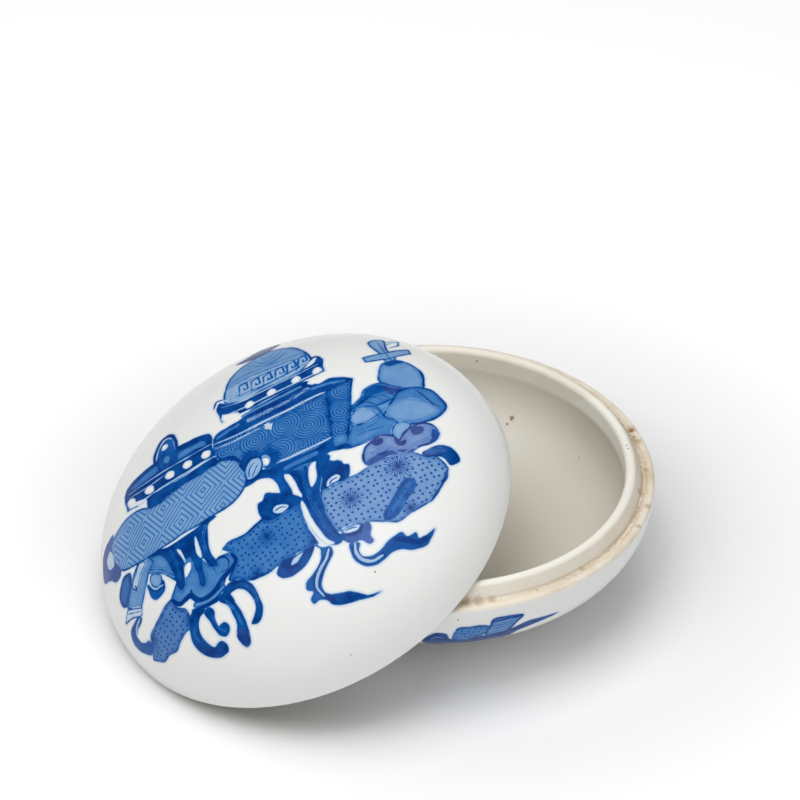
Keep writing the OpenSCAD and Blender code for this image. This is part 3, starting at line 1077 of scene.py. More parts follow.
def bowl_ornament(b):
    """A scroll and a book tied with a ribbon, low on the bowl, three times round it."""
    scroll = (
        (455, 633), (458, 629), (470, 627.5), (480, 626), (490, 627), (485, 633), (475, 637), (465, 640),
        (455, 640))
    book = (
        (491, 626), (493, 620.5), (505, 617), (515, 615.5), (523, 615), (517, 621), (510, 628), (500, 634),
        (490, 636), (487, 631))
    book_edge = ((493, 622), (505, 619), (521, 616))
    page = ((491, 627), (503, 624), (514, 620))
    ribbon = (
        (422, 641), (428, 636), (436, 633), (446, 634), (450, 639), (462, 640), (480, 636), (495, 633),
        (512, 628), (525, 622), (545, 616), (559, 612), (540, 621), (528, 626), (518, 630), (508, 635),
        (495, 639), (480, 642), (462, 644), (445, 645.5), (430, 644.5))
    ribbon_light = ((431, 639), (437, 637), (443, 638.5))
    for spin in (0, 120, 240):
        b.spin = math.radians(spin)
        b.fill(0.62, scroll, edge=0.4, pattern="dots")
        b.fill(0.54, book, edge=0.45)
        b.line(0.5, book_edge)
        for shift in (0, 2.5, 5):
            b.line(0.3, [(x, y + shift) for x, y in page], ink="fine")
        b.fill(0.97, ribbon, violet=0.2)
        b.fill(0.5, ribbon_light, width=0.4, edge=0.0)


# Meshes


def net_cells(section, skin, brush, painted, row_step):
    """Cells round a section, small at the edges of the paint and large elsewhere.

    Each cell is two stations along the section and two columns round it.
    """
    points, names, length = section
    last = len(points) - 1
    starts = [0]
    for k in range(1, last + 1):
        same = names[k] == names[k - 1] and names[k] in row_step
        if not same or k - starts[-1] >= row_step[names[k]] or k == last:
            starts.append(k)
    step = COLUMNS // ROOT_COLUMNS
    columns = range(0, COLUMNS, step)
    cells = np.array([(a, b, c, c + step) for a, b in zip(starts, starts[1:]) for c in columns])
    done = []
    while len(cells):
        k0, k1, c0, c1 = cells.T
        mid_k = (k0 + k1) // 2
        mid_turn = (c0 + c1) / 2 * COLUMN_TURN
        tall = length[k1] - length[k0]
        wide = points[mid_k, 0] * (c1 - c0) * COLUMN_TURN
        middle = (points[k0] + points[k1]) / 2
        place = np.c_[middle[:, 0] * np.cos(mid_turn), middle[:, 0] * np.sin(mid_turn), middle[:, 1]]
        want = np.full(len(cells), COARSE_CELL)
        on = (names[k0] == painted) & (names[k1] == painted)
        if on.any():
            _, near = brush.paint(skin.chart(place[on]))
            close = near < NEAR_CELLS * np.maximum(tall[on], wide[on]) + NEAR_MM
            want[on] = np.where(close, FINE_CELL, COARSE_CELL)
        cut_c = (wide > want) & (c1 - c0 > 1) & ((wide >= tall) | (k1 - k0 < 2))
        cut_k = ~cut_c & (tall > want) & (k1 - k0 > 1)
        keep = ~cut_c & ~cut_k
        done.append(cells[keep])
        half_c = (c0 + c1) // 2
        cells = np.vstack([
            np.c_[k0, k1, c0, half_c][cut_c], np.c_[k0, k1, half_c, c1][cut_c],
            np.c_[k0, mid_k, c0, c1][cut_k], np.c_[mid_k, k1, c0, c1][cut_k]])
    return np.vstack(done)


def wound_net(cells, last):
    """The net's vertices, each a station and a column, and its faces.

    A face takes in the corners of the smaller cells beside it, so the net has no gaps.
    """
    by_row, by_column = {}, {}
    for k0, k1, c0, c1 in cells.tolist():
        for k in (k0, k1):
            for c in (c0, c1):
                if 0 < k < last:
                    by_row.setdefault(k, set()).add(c % COLUMNS)
                    by_column.setdefault(c % COLUMNS, set()).add(k)
    for k in by_row:
        if 0 in by_row[k]:
            by_row[k].add(COLUMNS)
    by_row = {k: np.sort(list(v)) for k, v in by_row.items()}
    by_column = {c: np.sort(list(v)) for c, v in by_column.items()}
    index, order = {}, []

    def vertex(k, c):
        """The number of the vertex at a station and a column."""
        key = (k, c % COLUMNS) if 0 < k < last else (k, 0)
        if key not in index:
            index[key] = len(order)
            order.append(key)
        return index[key]

    def between(values, low, high):
        """Values strictly between two of them."""
        i, j = np.searchsorted(values, (low, high))
        return values[i + 1:j].tolist()

    faces = []
    for k0, k1, c0, c1 in cells.tolist():
        loop = [vertex(k0, c0)]
        if k0 > 0:
            loop += [vertex(k0, c) for c in between(by_row[k0], c0, c1)] + [vertex(k0, c1)]
        loop += [vertex(k, c1) for k in between(by_column[c1 % COLUMNS], k0, k1) if k0 < k < k1]
        loop.append(vertex(k1, c1))
        if k1 < last:
            loop += [vertex(k1, c) for c in between(by_row[k1], c0, c1)[::-1]] + [vertex(k1, c0)]
        loop += [vertex(k, c0) for k in between(by_column[c0 % COLUMNS], k0, k1)[::-1] if k0 < k < k1]
        faces.append(loop)
    return np.array(order), faces


def turned_tree():
    """A tree that winds a net round a section and leans the result into place."""
    tree = bpy.data.node_groups.new("Turned form", "GeometryNodeTree")
    tree.is_modifier = True
    new = tree.interface.new_socket
    new("Net", in_out="INPUT", socket_type="NodeSocketGeometry")
    new("Section", in_out="INPUT", socket_type="NodeSocketObject")
    new("Lean", in_out="INPUT", socket_type="NodeSocketFloat").subtype = "ANGLE"
    new("Reach", in_out="INPUT", socket_type="NodeSocketFloat").subtype = "DISTANCE"
    new("Lift", in_out="INPUT", socket_type="NodeSocketFloat").subtype = "DISTANCE"
    new("Porcelain", in_out="INPUT", socket_type="NodeSocketMaterial")
    new("Form", in_out="OUTPUT", socket_type="NodeSocketGeometry")
    given = add_node(tree, "NodeGroupInput").outputs
    profile = add_node(tree, "GeometryNodeObjectInfo", {"Object": given["Section"]})
    station = add_node(tree, "GeometryNodeInputNamedAttribute", {"Name": "station"}, data_type="INT")
    turn = add_node(tree, "GeometryNodeInputNamedAttribute", {"Name": "turn"}, data_type="FLOAT")
    place = add_node(tree, "GeometryNodeInputPosition")
    sample = add_node(
        tree, "GeometryNodeSampleIndex",
        {"Geometry": profile.outputs["Geometry"], "Value": place.outputs[0], "Index": station.outputs[0]},
        data_type="FLOAT_VECTOR", domain="POINT")
    wound = add_node(
        tree, "ShaderNodeVectorRotate", {"Vector": sample.outputs[0], "Angle": turn.outputs[0]},
        rotation_type="Z_AXIS")
    back = add_node(tree, "ShaderNodeMath", {0: given["Lean"], 1: -1.0}, operation="MULTIPLY")
    leant = add_node(
        tree, "ShaderNodeVectorRotate", {"Vector": wound.outputs[0], "Angle": back.outputs[0]},
        rotation_type="Y_AXIS")
    out = add_node(tree, "ShaderNodeMath", {0: given["Reach"], 1: -1.0}, operation="MULTIPLY")
    shift = add_node(tree, "ShaderNodeCombineXYZ", {"X": out.outputs[0], "Z": given["Lift"]})
    moved = add_node(
        tree, "ShaderNodeVectorMath", {0: leant.outputs[0], 1: shift.outputs[0]}, operation="ADD")
    form = add_node(
        tree, "GeometryNodeSetPosition", {"Geometry": given["Net"], "Position": moved.outputs[0]})
    soft = add_node(tree, "GeometryNodeSetShadeSmooth", {"Geometry": form.outputs[0]})
    real = add_node(tree, "GeometryNodeRealizeInstances", {"Geometry": soft.outputs[0]})
    finished = add_node(
        tree, "GeometryNodeSetMaterial", {"Geometry": real.outputs[0], "Material": given["Porcelain"]})
    add_node(tree, "NodeGroupOutput", {"Form": finished.outputs[0]})
    return tree


def add_node(tree, kind, inputs=None, **settings):
    """Adds a node, sets it, and fills each input with a value or a link."""
    node = tree.nodes.new(kind)
    for name, value in settings.items():
        setattr(node, name, value)
    for key, value in (inputs or {}).items():
        if isinstance(value, bpy.types.NodeSocket):
            tree.links.new(value, node.inputs[key])
        else:
            node.inputs[key].default_value = value
    return node


def turn_piece(name, section, skin, brush, painted, row_step, zones, pose, material):
    """Makes one turned piece as a plain mesh with its paint as attributes."""
    points, names, length = section
    order, faces = wound_net(net_cells(section, skin, brush, painted, row_step), len(points) - 1)
    k = order[:, 0]
    turn = order[:, 1] * COLUMN_TURN
    own = np.c_[points[k, 0] * np.cos(turn), points[k, 0] * np.sin(turn), points[k, 1]]
    net = bpy.data.meshes.new(name + "_net")
    net.from_pydata(own * MM, [], faces)
    paint, _ = brush.paint(skin.chart(own))
    off = names[k] != painted
    for ink in INKS:
        paint[ink][off] = FAR
    paint["chart"] = np.c_[skin.chart(own), np.zeros(len(own))]
    paint["turn"] = turn
    paint |= zones(section, k, turn)
    for key, values in paint.items():
        flat = values.ndim == 1
        layer = net.attributes.new(key, "FLOAT" if flat else "FLOAT_VECTOR", "POINT")
        numbers = np.ascontiguousarray(values, np.float32).ravel()
        layer.data.foreach_set("value" if flat else "vector", numbers)
    net.attributes.new("station", "INT", "POINT").data.foreach_set("value", k.astype(np.int32))
    net.update()
    profile = bpy.data.meshes.new(name + "_section")
    rows = np.c_[points[:, 0], np.zeros(len(points)), points[:, 1]] * MM
    profile.from_pydata(rows, [(i, i + 1) for i in range(len(rows) - 1)], [])
    helper = bpy.data.objects.new(name + "_section", profile)
    rough = bpy.data.objects.new(name + "_net", net)
    for item in (helper, rough):
        bpy.context.scene.collection.objects.link(item)
    tree = bpy.data.node_groups.get("Turned form") or turned_tree()
    modifier = rough.modifiers.new("Turned form", "NODES")
    modifier.node_group = tree
    lean, reach, lift = pose
    given = {"Section": helper, "Lean": lean, "Reach": reach, "Lift": lift, "Porcelain": material}
    for item in tree.interface.items_tree:
        if item.in_out == "INPUT" and item.name in given:
            modifier[item.identifier] = given[item.name]
    bpy.context.view_layer.update()
    graph = bpy.context.evaluated_depsgraph_get()
    mesh = bpy.data.meshes.new_from_object(
        rough.evaluated_get(graph), preserve_all_data_layers=True, depsgraph=graph)
    mesh.name = name
    rough.modifiers.remove(modifier)
    for item in (rough, helper):
        bpy.data.objects.remove(item)
    piece = bpy.data.objects.new(name, mesh)
    bpy.context.scene.collection.objects.link(piece)
    return piece


# Materials


# How the box is worn, and where the well's wall has painted shade and painted light. Turns are
# about its axis, and lengths are in mm: how far round the shoulder the glaze stops, how far up
# the cover's seat is bare, how far down the well the painted shade and the painted light go, and
# how far from the groove and from the well's mouth is kept.
GLAZED_TURN = math.radians(-75)
WORN_TURN = math.radians(-20)
# The well's wall is painted darker about the first turn, as painted shade, and lighter about the second, as
# painted light.
SHADE_TURN = math.radians(30)
LIGHT_TURN = math.radians(85)
GLAZE_LINE = 0.25
SEAT_BARE = 2.4
SHADE_DEPTH = 8
LIGHT_DEPTH = 12
GROOVE_REACH = 6.0
LIP_BACK = -8.0
WELL_REACH = 30
# Streaks run round a circle as large as the ledge, and are 24 times as long as they are wide.
STREAK_RADIUS = 36
STREAK_STRETCH = 24


def lathe_place(turn, s):
    """A place on the lathe, stretched across the turning so that a noise there runs round it."""
    return np.c_[np.cos(turn) * STREAK_RADIUS, np.sin(turn) * STREAK_RADIUS, s * STREAK_STRETCH]


def bowl_zones(section, k, turn):
    """Where the bowl is bare, how it is worn and where its well has painted shade and light, in mm."""
    _, names, length = section
    s = length[k]
    ledge, shoulder, crest, foot, well = (
        length[names == name] for name in ("ledge", "shoulder", "crest", "foot", "well"))
    start = shoulder[0] + GLAZE_LINE
    # The lip is glazed over its crest on one side, and wiped bare down to the well on the other.
    glazed = np.clip((np.cos(turn - GLAZED_TURN) + 0.02) * 6, 0, 1)
    end = well[0] + (crest[3] - well[0]) * glazed
    bare = np.minimum(s - start, end - s)
    bare_foot = np.minimum(s - foot[0], foot[-1] - s)
    # The well's wall is painted darker high on one side, as painted shade, and lighter on
    # another, as painted light.
    depth = s - well[0]
    shaded = np.clip(1.6 * np.cos(turn - SHADE_TURN) - 0.3, 0, 1) * np.clip(1.6 - depth / SHADE_DEPTH, 0, 1)
    painted_light = np.clip(1.5 * np.cos(turn - LIGHT_TURN) - 0.3, 0, 1) * np.clip(1.9 - depth / LIGHT_DEPTH, 0, 1)
    return {
        "bare": np.clip(np.maximum(bare, bare_foot), -FAR, FAR),
        "groove": np.clip(s - ledge.mean(), -GROOVE_REACH, GROOVE_REACH),
        "well": np.clip(depth, LIP_BACK, WELL_REACH),
        "worn": np.clip(0.3 + 0.7 * np.cos(turn - WORN_TURN), 0.15, 1),
        # Above 0 where the wall is painted darker as shade, below 0 where it is painted lighter as light.
        "wall_shading": 0.45 * shaded - 0.6 * painted_light,
        "lathe": lathe_place(turn, s),
    }


def cover_zones(section, k, turn):
    """Where the cover is bare, as a distance in mm. It has no groove, well or wear."""
    _, names, length = section
    s = length[k]
    seat = length[names == "seat"][0]
    edge = length[names == "edge"]
    none = np.zeros(len(k))
    return {
        "bare": np.clip(np.minimum(s - (seat - SEAT_BARE), edge[2] - s), -FAR, FAR),
        "groove": none + GROOVE_REACH,
        "well": none + LIP_BACK,
        "worn": none,
        "wall_shading": none,
        "lathe": lathe_place(turn, s),
    }


def touched(piece, spots):
    """Where spots in the picture lie on a piece, with their radii in metres."""
    found = []
    for x, y, radius in spots:
        eye, rays = picture_rays(np.array([[x, y]], float))
        hit, place, _, _ = piece.ray_cast(Vector(eye * MM), Vector(rays[0]))
        if not hit:
            raise ValueError("A spot misses " + piece.name)
        found.append((place, radius * MM))
    return found


# Noises over the piece: name, features to the metre and detail. The brush wobbles over
# 1.5 mm, pigment pools over 2.5 mm, grime gathers over 5 mm and has grains of 0.5 mm, and the
# glaze rolls over 9 mm.
NOISES = (("wobble", 650, 2), ("pool", 400, 4), ("patch", 200, 4), ("grain", 2000, 3), ("roll", 110, 1))
# How far two marks on the glaze run together, in their own radii.
MARK_BLEND = 0.1

# Sums that the motifs and the grime need: name, operation and what it joins.
MOTIFS = (
    # Concentric lines of a curl, 0.56 mm apart.
    ("angle", "ARCTAN2", "y", "x"),
    ("turns", "DIVIDE", "angle", 2 * math.pi),
    ("rings", "DIVIDE", "r", 0.56),
    ("rings", "SUBTRACT", "rings", "turns"),
    ("rings", "FRACT", "rings", 0),
    ("rings", "SUBTRACT", "rings", 0.5),
    ("rings", "ABSOLUTE", "rings", 0),
    # Rays of a burst.
    ("rays", "MULTIPLY", "turns", 23.0),
    ("rays", "PINGPONG", "rays", 0.5),
    ("rays", "MULTIPLY", "rays", 2.0),
    ("reach", "MULTIPLY", "r", -1.15),
    ("reach", "ADD", "reach", 1.2),
    ("rays", "SUBTRACT", "reach", "rays"),
    # Nested lozenges of the diaper.
    ("across", "PINGPONG", "x", 0.5),
    ("down", "PINGPONG", "y", 0.5),
    ("nest", "MAXIMUM", "across", "down"),
    ("nest", "PINGPONG", "nest", 0.0625),
    # Grime in soft blotches, and in broken streaks round the turning.
    ("mottle", "MULTIPLY", "grain", 0.3),
    ("mottle", "ADD", "mottle", "patch"),
    ("soil", "MULTIPLY", "grain", 0.5),
    ("soil", "ADD", "soil", "streak"),
)

# How a measure turns into a level: name, what is measured, where the level starts and where
# it ends, and what it is there.
RANGES = (
    ("pool", "pool", 0.3, 0.7, 0.92, 1.08),
    ("wash_cover", "wash_line", 0.12, -0.12, 0.0, 1.0),
    ("fine_cover", "fine_line", 0.09, -0.06, 0.0, 0.84),
    ("dark_cover", "dark_line", 0.13, -0.1, 0.0, 1.0),
    ("pale_cover", "pale_line", 0.1, -0.06, 1.0, 0.3),
    ("bleed", "dark", 0.55, 0.0, 0.0, 0.17),
    # The groove holds grime, and it has crept out over the ledge where the box is worn.
    ("outer", "groove", -1.4, -0.2, 0.0, 1.0),
    ("inner", "groove", 0.35, -0.3, 0.0, 1.0),
    ("lip", "groove", 0.1, 0.5, 0.0, 0.6),
    ("dirty", "soil", 0.6, 0.85, 0.0, 0.85),
    ("tan", "mottle", 0.55, 0.85, 0.1, 0.85),
    ("smudge_on", "smudge", 1.4, 0.6, 0.0, 0.6),
    ("bare_on", "bare", -0.06, 0.06, 0.0, 1.0),
    ("well_on", "well", -0.1, 1.0, 0.0, 1.0),
    # Painted shade and painted light on the well's wall.
    ("wall_shade_on", "wall_shading", 0.0, 1.0, 0.0, 1.0),
    ("painted_light_on", "wall_shading", 0.0, -1.0, 0.0, 1.0),
    ("crest_on", "well", -6.5, -5.0, 0.0, 0.8),
    ("spot_on", "spot", 1.25, 0.85, 0.0, 0.85),
    ("curl_on", "curl", 0.05, -0.05, 0.0, 0.92),
    ("curl_line", "rings", 0.24, 0.1, 0.0, 1.0),
    ("curl_gap", "rings", 0.2, 0.42, 0.0, -0.24),
    ("burst_on", "burst", 0.1, -0.1, 0.0, 0.95),
    ("burst_line", "rays", 0.0, 0.3, 0.0, 1.0),
    ("burst_fade", "r", 0.1, 1.0, 1.04, 0.72),
    ("core", "r", 0.24, 0.08, 0.0, 1.0),
    ("rim", "wash", -0.8, 0.0, 1.0, 1.26),
    ("diaper_on", "diaper", 0.05, -0.05, 0.0, 0.74),
    ("diaper_line", "nest", 0.03, 0.045, 0.0, 1.0),
    ("dots_on", "dots", 0.0, -0.3, 0.0, 0.95),
    ("dots_line", "sprinkle", 0.31, 0.18, 0.0, 1.0),
)

# How the levels join: name, operation and the two levels.
MIXES = (
    ("wash_ink", "MULTIPLY", "wash_cover", "tone"),
    ("wash_ink", "MULTIPLY", "wash_ink", "pool"),
    ("wash_ink", "MULTIPLY", "wash_ink", "rim"),
    ("curl_gap", "MULTIPLY", "curl_on", "curl_gap"),
    ("curl_gap", "MULTIPLY", "curl_gap", "wash_ink"),
    ("wash_ink", "ADD", "wash_ink", "curl_gap"),
    ("dark_ink", "MULTIPLY", "dark_cover", "deep"),
    ("dark_ink", "MULTIPLY", "dark_ink", "pool"),
    ("curl_ink", "MULTIPLY", "curl_on", "curl_line"),
    ("burst_line", "MAXIMUM", "burst_line", "core"),
    ("burst_ink", "MULTIPLY", "burst_on", "burst_line"),
    ("burst_ink", "MULTIPLY", "burst_ink", "burst_fade"),
    ("diaper_ink", "MULTIPLY", "diaper_on", "diaper_line"),
    ("dots_ink", "MULTIPLY", "dots_on", "dots_line"),
    ("ink", "MAXIMUM", "wash_ink", "dark_ink"),
    ("ink", "MAXIMUM", "ink", "fine_cover"),
    ("ink", "MAXIMUM", "ink", "curl_ink"),
    ("ink", "MAXIMUM", "ink", "burst_ink"),
    ("ink", "MAXIMUM", "ink", "diaper_ink"),
    ("ink", "MAXIMUM", "ink", "dots_ink"),
    ("ink", "MULTIPLY", "ink", "pale_cover"),
    ("ink", "MAXIMUM", "ink", "bleed"),
    ("grime", "MULTIPLY", "outer", "inner"),
    ("grime", "MULTIPLY", "grime", "dirty"),
    ("grime", "MULTIPLY", "grime", "worn"),
    ("tan", "MULTIPLY", "tan", "worn"),
)

# What is laid over what: name, what is under, the level of what is over, and that.
LAYERS = (
    ("skin", "blue", "violet", "purple"),
    # The well's glaze takes painted shade on one side, and painted light, the plain glaze, on another.
    ("hollow", "well_glaze", "wall_shade_on", "well_wall_shade"),
    ("hollow", "hollow", "painted_light_on", "glaze"),
    ("skin", "skin", "crest_on", "pale_biscuit"),
    ("skin", "skin", "well_on", "hollow"),
    ("body", "biscuit", "tan", "stain"),
    ("body", "body", "lip", "pale_biscuit"),
    ("body", "body", "grime", "grime"),
    ("body", "body", "smudge_on", "grime"),
    ("skin", "skin", "bare_on", "body"),
    ("skin", "skin", "spot_on", "stain_spot"),
)

# The surface: the glaze's reflection, how rough the bare body is, and the relief in metres, in
# which the glaze rolls very slightly and the body is as grainy as fine sandpaper.
GLAZE_IOR = 1.5
GLAZE_SPECULAR = 0.12
BISCUIT_ROUGHNESS = 0.7
RELIEF = 0.03 * MM
RELIEF_STRENGTH = 0.6
ROLL = 6.0


def readings(tree, spots, smudges):
    """What the porcelain reads: paint, wear and painted shade off the mesh, noises, motifs and marks."""
    keys = (*INKS, "tone", "deep", "violet", "bare", "groove", "well", "worn", "wall_shading")
    value = {
        key: add_node(tree, "ShaderNodeAttribute", attribute_name=key).outputs["Fac"] for key in keys}
    chart, motif, lathe = (
        add_node(tree, "ShaderNodeAttribute", attribute_name=key).outputs["Vector"]
        for key in ("chart", "motif", "lathe"))
    place = add_node(tree, "ShaderNodeTexCoord").outputs["Object"]
    parts = add_node(tree, "ShaderNodeSeparateXYZ", {0: motif})
    value |= {"x": parts.outputs[0], "y": parts.outputs[1]}
    value["r"] = add_node(tree, "ShaderNodeVectorMath", {0: motif}, operation="LENGTH").outputs["Value"]
    for key, scale, detail in NOISES:
        noise = add_node(tree, "ShaderNodeTexNoise", {"Vector": place, "Scale": scale, "Detail": detail})
        value[key] = noise.outputs["Fac"]
    # Streaks along the turning, about 9 mm long and 0.4 mm apart.
    streak = add_node(tree, "ShaderNodeTexNoise", {"Vector": lathe, "Scale": 0.11, "Detail": 5})
    value["streak"] = streak.outputs["Fac"]
    # Dots 1.1 mm apart on the scrolls.
    sprinkle = add_node(
        tree, "ShaderNodeTexVoronoi", {"Vector": chart, "Scale": 0.92, "Randomness": 0.42},
        voronoi_dimensions="2D")
    value["sprinkle"] = sprinkle.outputs["Distance"]
    for key, operation, first, second in MOTIFS:
        value[key] = add_node(
            tree, "ShaderNodeMath", {0: value.get(first, first), 1: value.get(second, second)},
            operation=operation).outputs[0]
    for key, marks in (("spot", spots), ("smudge", smudges)):
        near = 1.0
        for centre, radius in marks:
            away = add_node(
                tree, "ShaderNodeVectorMath", {0: place, 1: centre}, operation="DISTANCE").outputs["Value"]
            away = add_node(tree, "ShaderNodeMath", {0: away, 1: radius}, operation="DIVIDE").outputs[0]
            near = add_node(
                tree, "ShaderNodeMath", {0: away, 1: near, 2: MARK_BLEND},
                operation="SMOOTH_MIN").outputs[0]
        value[key] = add_node(
            tree, "ShaderNodeMath", {0: value["grain"], 1: near}, operation="ADD").outputs[0]
    wobble = add_node(
        tree, "ShaderNodeMapRange", {0: value["wobble"], 1: 0.3, 2: 0.7, 3: -0.05, 4: 0.05}).outputs[0]
    for key in ("wash", "fine", "dark", "pale"):
        value[key + "_line"] = add_node(
            tree, "ShaderNodeMath", {0: value[key], 1: wobble}, operation="ADD").outputs[0]
    return value


def add_levels(tree, value):
    """Adds how far each paint, the well's painted shade and light, and the bare body cover a place."""
    for key, source, low, high, start, end in RANGES:
        value[key] = add_node(
            tree, "ShaderNodeMapRange", {0: value[source], 1: low, 2: high, 3: start, 4: end}).outputs[0]
    for key, operation, first, second in MIXES:
        value[key] = add_node(
            tree, "ShaderNodeMath", {0: value[first], 1: value[second]}, operation=operation).outputs[0]


def layered_colour(tree, value, finish):
    """The cobalt, the glaze, the bare body and the marks, laid over one another."""
    blues = (
        (0.0, finish.glaze), (LIGHT, finish.light_cobalt), (0.62, finish.mid_cobalt),
        (0.85, finish.full_cobalt), (1.0, finish.dark_cobalt))
    violets = (
        (0.0, finish.glaze), (LIGHT, finish.light_violet), (0.8, finish.mid_violet),
        (1.0, finish.dark_violet))
    plain = ("glaze", "biscuit", "pale_biscuit", "stain", "grime", "well_glaze", "well_wall_shade", "stain_spot")
    shades = {key: (*getattr(finish, key), 1) for key in plain}
    for key, stops in (("blue", blues), ("purple", violets)):
        ramp = add_node(tree, "ShaderNodeValToRGB", {0: value["ink"]})
        while len(ramp.color_ramp.elements) < len(stops):
            ramp.color_ramp.elements.new(0.5)
        for element, (position, shade) in zip(ramp.color_ramp.elements, stops):
            element.position = position
            element.color = (*shade, 1)
        shades[key] = ramp.outputs[0]
    for key, under, level, over in LAYERS:
        shades[key] = add_node(
            tree, "ShaderNodeMix", {0: value[level], 6: shades[under], 7: shades[over]},
            data_type="RGBA").outputs[2]
    return shades["skin"]


def porcelain(material, spots, smudges=()):
    """Thrown porcelain with cobalt painted under a clear glaze, fired together.

    The eye sees a hard cool white with soft highlights, blue that sinks into the glaze
    and pools at the end of each stroke, and a matt warm body where the glaze is wiped off.
    """
    finish = bpy.context.scene.paste_box_finish
    material.use_nodes = True
    tree = material.node_tree
    tree.nodes.clear()
    value = readings(tree, spots, smudges)
    add_levels(tree, value)
    rough = add_node(
        tree, "ShaderNodeMapRange", {0: value["bare_on"], 3: finish.gloss, 4: BISCUIT_ROUGHNESS})
    grain = add_node(tree, "ShaderNodeMath", {0: value["grain"], 1: value["bare_on"]}, operation="MULTIPLY")
    relief = add_node(tree, "ShaderNodeMath", {0: value["roll"], 1: ROLL}, operation="MULTIPLY")
    relief = add_node(tree, "ShaderNodeMath", {0: relief.outputs[0], 1: grain.outputs[0]}, operation="ADD")
    bump = add_node(
        tree, "ShaderNodeBump",
        {"Height": relief.outputs[0], "Strength": RELIEF_STRENGTH, "Distance": RELIEF})
    surface = add_node(
        tree, "ShaderNodeBsdfPrincipled",
        {"Base Color": layered_colour(tree, value, finish), "Roughness": rough.outputs[0],
         "Normal": bump.outputs[0], "IOR": GLAZE_IOR, "Specular IOR Level": GLAZE_SPECULAR})
    add_node(tree, "ShaderNodeOutputMaterial", {"Surface": surface.outputs[0]})


# The stage, in metres: half the floor's side, a lamp's side, and the ring round the box in
# which the glow of the table comes up.
FLOOR_HALF = 1.5
LAMP_SIDE = 0.45
GLOW_START = 0.05
GLOW_END = 0.1
GLOW_UNDER_BOX = 0.006


def add_floor(scene):
    """Matt studio paper that glows from below all round the box, as on a shadowless table."""
    stage = scene.paste_box_stage
    mesh = bpy.data.meshes.new("floor")
    h = FLOOR_HALF
    mesh.from_pydata([(-h, -h, 0), (h, -h, 0), (h, h, 0), (-h, h, 0)], [], [(0, 1, 2, 3)])
    floor = bpy.data.objects.new("floor", mesh)
    scene.collection.objects.link(floor)
    paper = bpy.data.materials.new("matt studio paper")
    paper.use_nodes = True
    tree = paper.node_tree
    shader = tree.nodes["Principled BSDF"]
    shader.inputs["Base Color"].default_value = (*stage.floor, 1)
    shader.inputs["Roughness"].default_value = 0.9
    shader.inputs["Specular IOR Level"].default_value = 0.1
    shader.inputs["Emission Color"].default_value = (*stage.floor, 1)
    place = add_node(tree, "ShaderNodeTexCoord").outputs["Object"]
    away = add_node(tree, "ShaderNodeVectorMath", {0: place}, operation="LENGTH").outputs["Value"]
    glow = add_node(
        tree, "ShaderNodeMapRange",
        {0: away, 1: GLOW_START, 2: GLOW_END, 3: GLOW_UNDER_BOX, 4: stage.table})
    tree.links.new(glow.outputs[0], shader.inputs["Emission Strength"])
    mesh.materials.append(paper)


def add_lights(scene):
    """Three soft lamps that face the box, and an even sky."""
    stage = scene.paste_box_stage
    lamps = (
        ("top", (0.0, 0.0, 0.62), stage.top_power),
        ("key", (-0.29, -0.1, 0.54), stage.key_power),
        ("fill", (0.14, -0.42, 0.44), stage.fill_power),
    )
    for name, spot, power in lamps:
        lamp = bpy.data.lights.new(name, "AREA")
        lamp.size = LAMP_SIDE
        lamp.energy = power
        light = bpy.data.objects.new(name, lamp)
        facing = Vector(spot).to_track_quat("Z", "Y").to_matrix().to_4x4()
        light.matrix_world = Matrix.Translation(spot) @ facing
        scene.collection.objects.link(light)
    world = bpy.data.worlds.new("studio")
    world.use_nodes = True
    world.node_tree.nodes["Background"].inputs["Color"].default_value = (1, 1, 1, 1)
    world.node_tree.nodes["Background"].inputs["Strength"].default_value = stage.sky
    scene.world = world
    scene.view_settings.view_transform = "Standard"


def add_camera(scene):
    """The camera that took the picture."""
    eye, right, up, forward = camera_axes()
    lens = bpy.data.cameras.new("camera")
    lens.sensor_width = SENSOR_MM
    lens.lens = FOCAL_PIXELS * SENSOR_MM / PICTURE_SIDE
    lens.clip_start = 0.05
    lens.clip_end = 20
    camera = bpy.data.objects.new("camera", lens)
    turn = Matrix(np.c_[right, up, -forward].tolist()).to_4x4()
    camera.matrix_world = Matrix.Translation(eye * MM) @ turn
    scene.collection.objects.link(camera)
    scene.camera = camera


class PASTEBOX_OT_bowl(bpy.types.Operator):
    """Makes the bowl, with its ledge, lip, well, foot ring and ornament."""

    bl_idname = "paste_box.bowl"
    bl_label = "Add Bowl"

    def execute(self, context):
        section, skin = bowl_form()
        brush = Brush(skin)
        bowl_ornament(brush)
        material = bpy.data.materials.new("bowl painted porcelain")
        piece = turn_piece(
            "bowl_porcelain", section, skin, brush, "belly", {"belly": 8, "well": 2},
            bowl_zones, (0.0, 0.0, 0.0), material)
        porcelain(material, touched(piece, BOWL_SPOTS), touched(piece, BOWL_SMUDGES))
        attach(piece, "bowl")
        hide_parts("bowl")
        return {"FINISHED"}


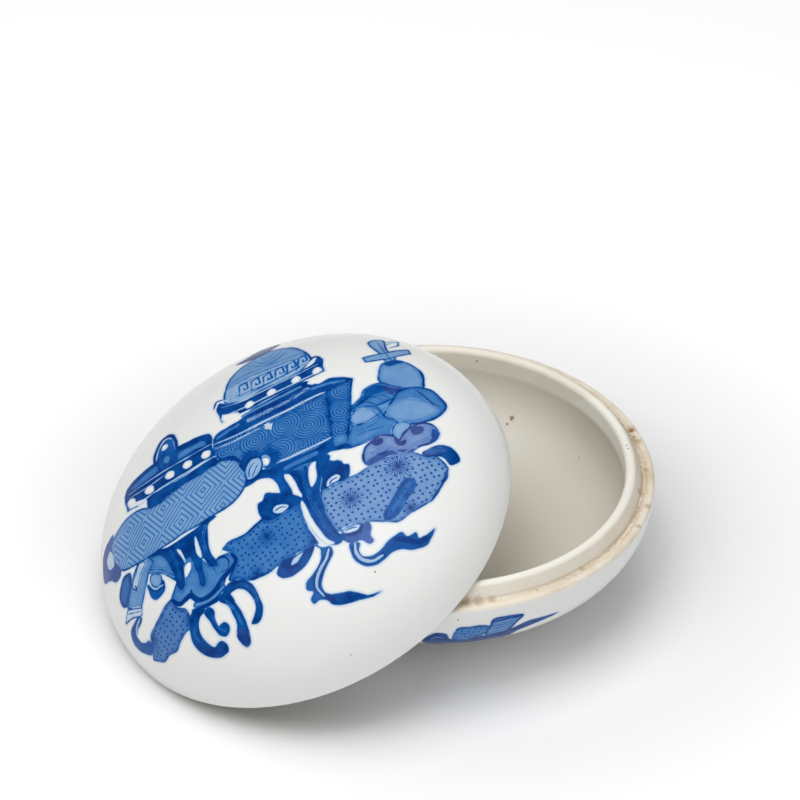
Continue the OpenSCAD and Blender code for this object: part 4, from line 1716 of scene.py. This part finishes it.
class PASTEBOX_OT_cover(bpy.types.Operator):
    """Makes the domed cover with its ornament, leaning on the bowl."""

    bl_idname = "paste_box.cover"
    bl_label = "Add Cover"

    def execute(self, context):
        section, skin, pose = cover_form()
        brush = Brush(skin)
        cover_ornament(brush)
        material = bpy.data.materials.new("cover painted porcelain")
        piece = turn_piece(
            "cover_porcelain", section, skin, brush, "dome", {"dome": 8, "hollow": 2},
            cover_zones, pose, material)
        porcelain(material, touched(piece, COVER_SPOTS))
        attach(piece, "cover")
        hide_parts("cover")
        return {"FINISHED"}


class PASTEBOX_OT_stage(bpy.types.Operator):
    """Makes the floor, the lights and the camera."""

    bl_idname = "paste_box.stage"
    bl_label = "Add Stage"

    def execute(self, context):
        add_floor(context.scene)
        add_lights(context.scene)
        add_camera(context.scene)
        return {"FINISHED"}


class PASTEBOX_PT_panel(bpy.types.Panel):
    """Lists the pieces of the box."""

    bl_idname = "PASTEBOX_PT_panel"
    bl_label = "Paste Box"
    bl_space_type = "VIEW_3D"
    bl_region_type = "UI"
    bl_category = "Paste Box"

    def draw(self, context):
        for operator in (PASTEBOX_OT_stage, PASTEBOX_OT_bowl, PASTEBOX_OT_cover):
            self.layout.operator(operator.bl_idname)
        for name in GROUPS:
            group = getattr(context.scene, name)
            box = self.layout.box()
            for key in group.__annotations__:
                box.prop(group, key)


GROUPS = {
    "paste_box_bowl": PasteBoxBowlSizes,
    "paste_box_cover": PasteBoxCoverSizes,
    "paste_box_finish": PasteBoxFinish,
    "paste_box_stage": PasteBoxStage,
}
CLASSES = (*GROUPS.values(), PASTEBOX_OT_stage, PASTEBOX_OT_bowl, PASTEBOX_OT_cover, PASTEBOX_PT_panel)


def register():
    for item in CLASSES:
        bpy.utils.register_class(item)
    for name, group in GROUPS.items():
        setattr(bpy.types.Scene, name, PointerProperty(type=group))


def unregister():
    for name in GROUPS:
        delattr(bpy.types.Scene, name)
    for item in reversed(CLASSES):
        bpy.utils.unregister_class(item)


def main():
    """Builds the whole scene."""
    register()
    bpy.ops.paste_box.stage()
    bpy.ops.paste_box.bowl()
    bpy.ops.paste_box.cover()


if __name__ == "__main__":
    main()
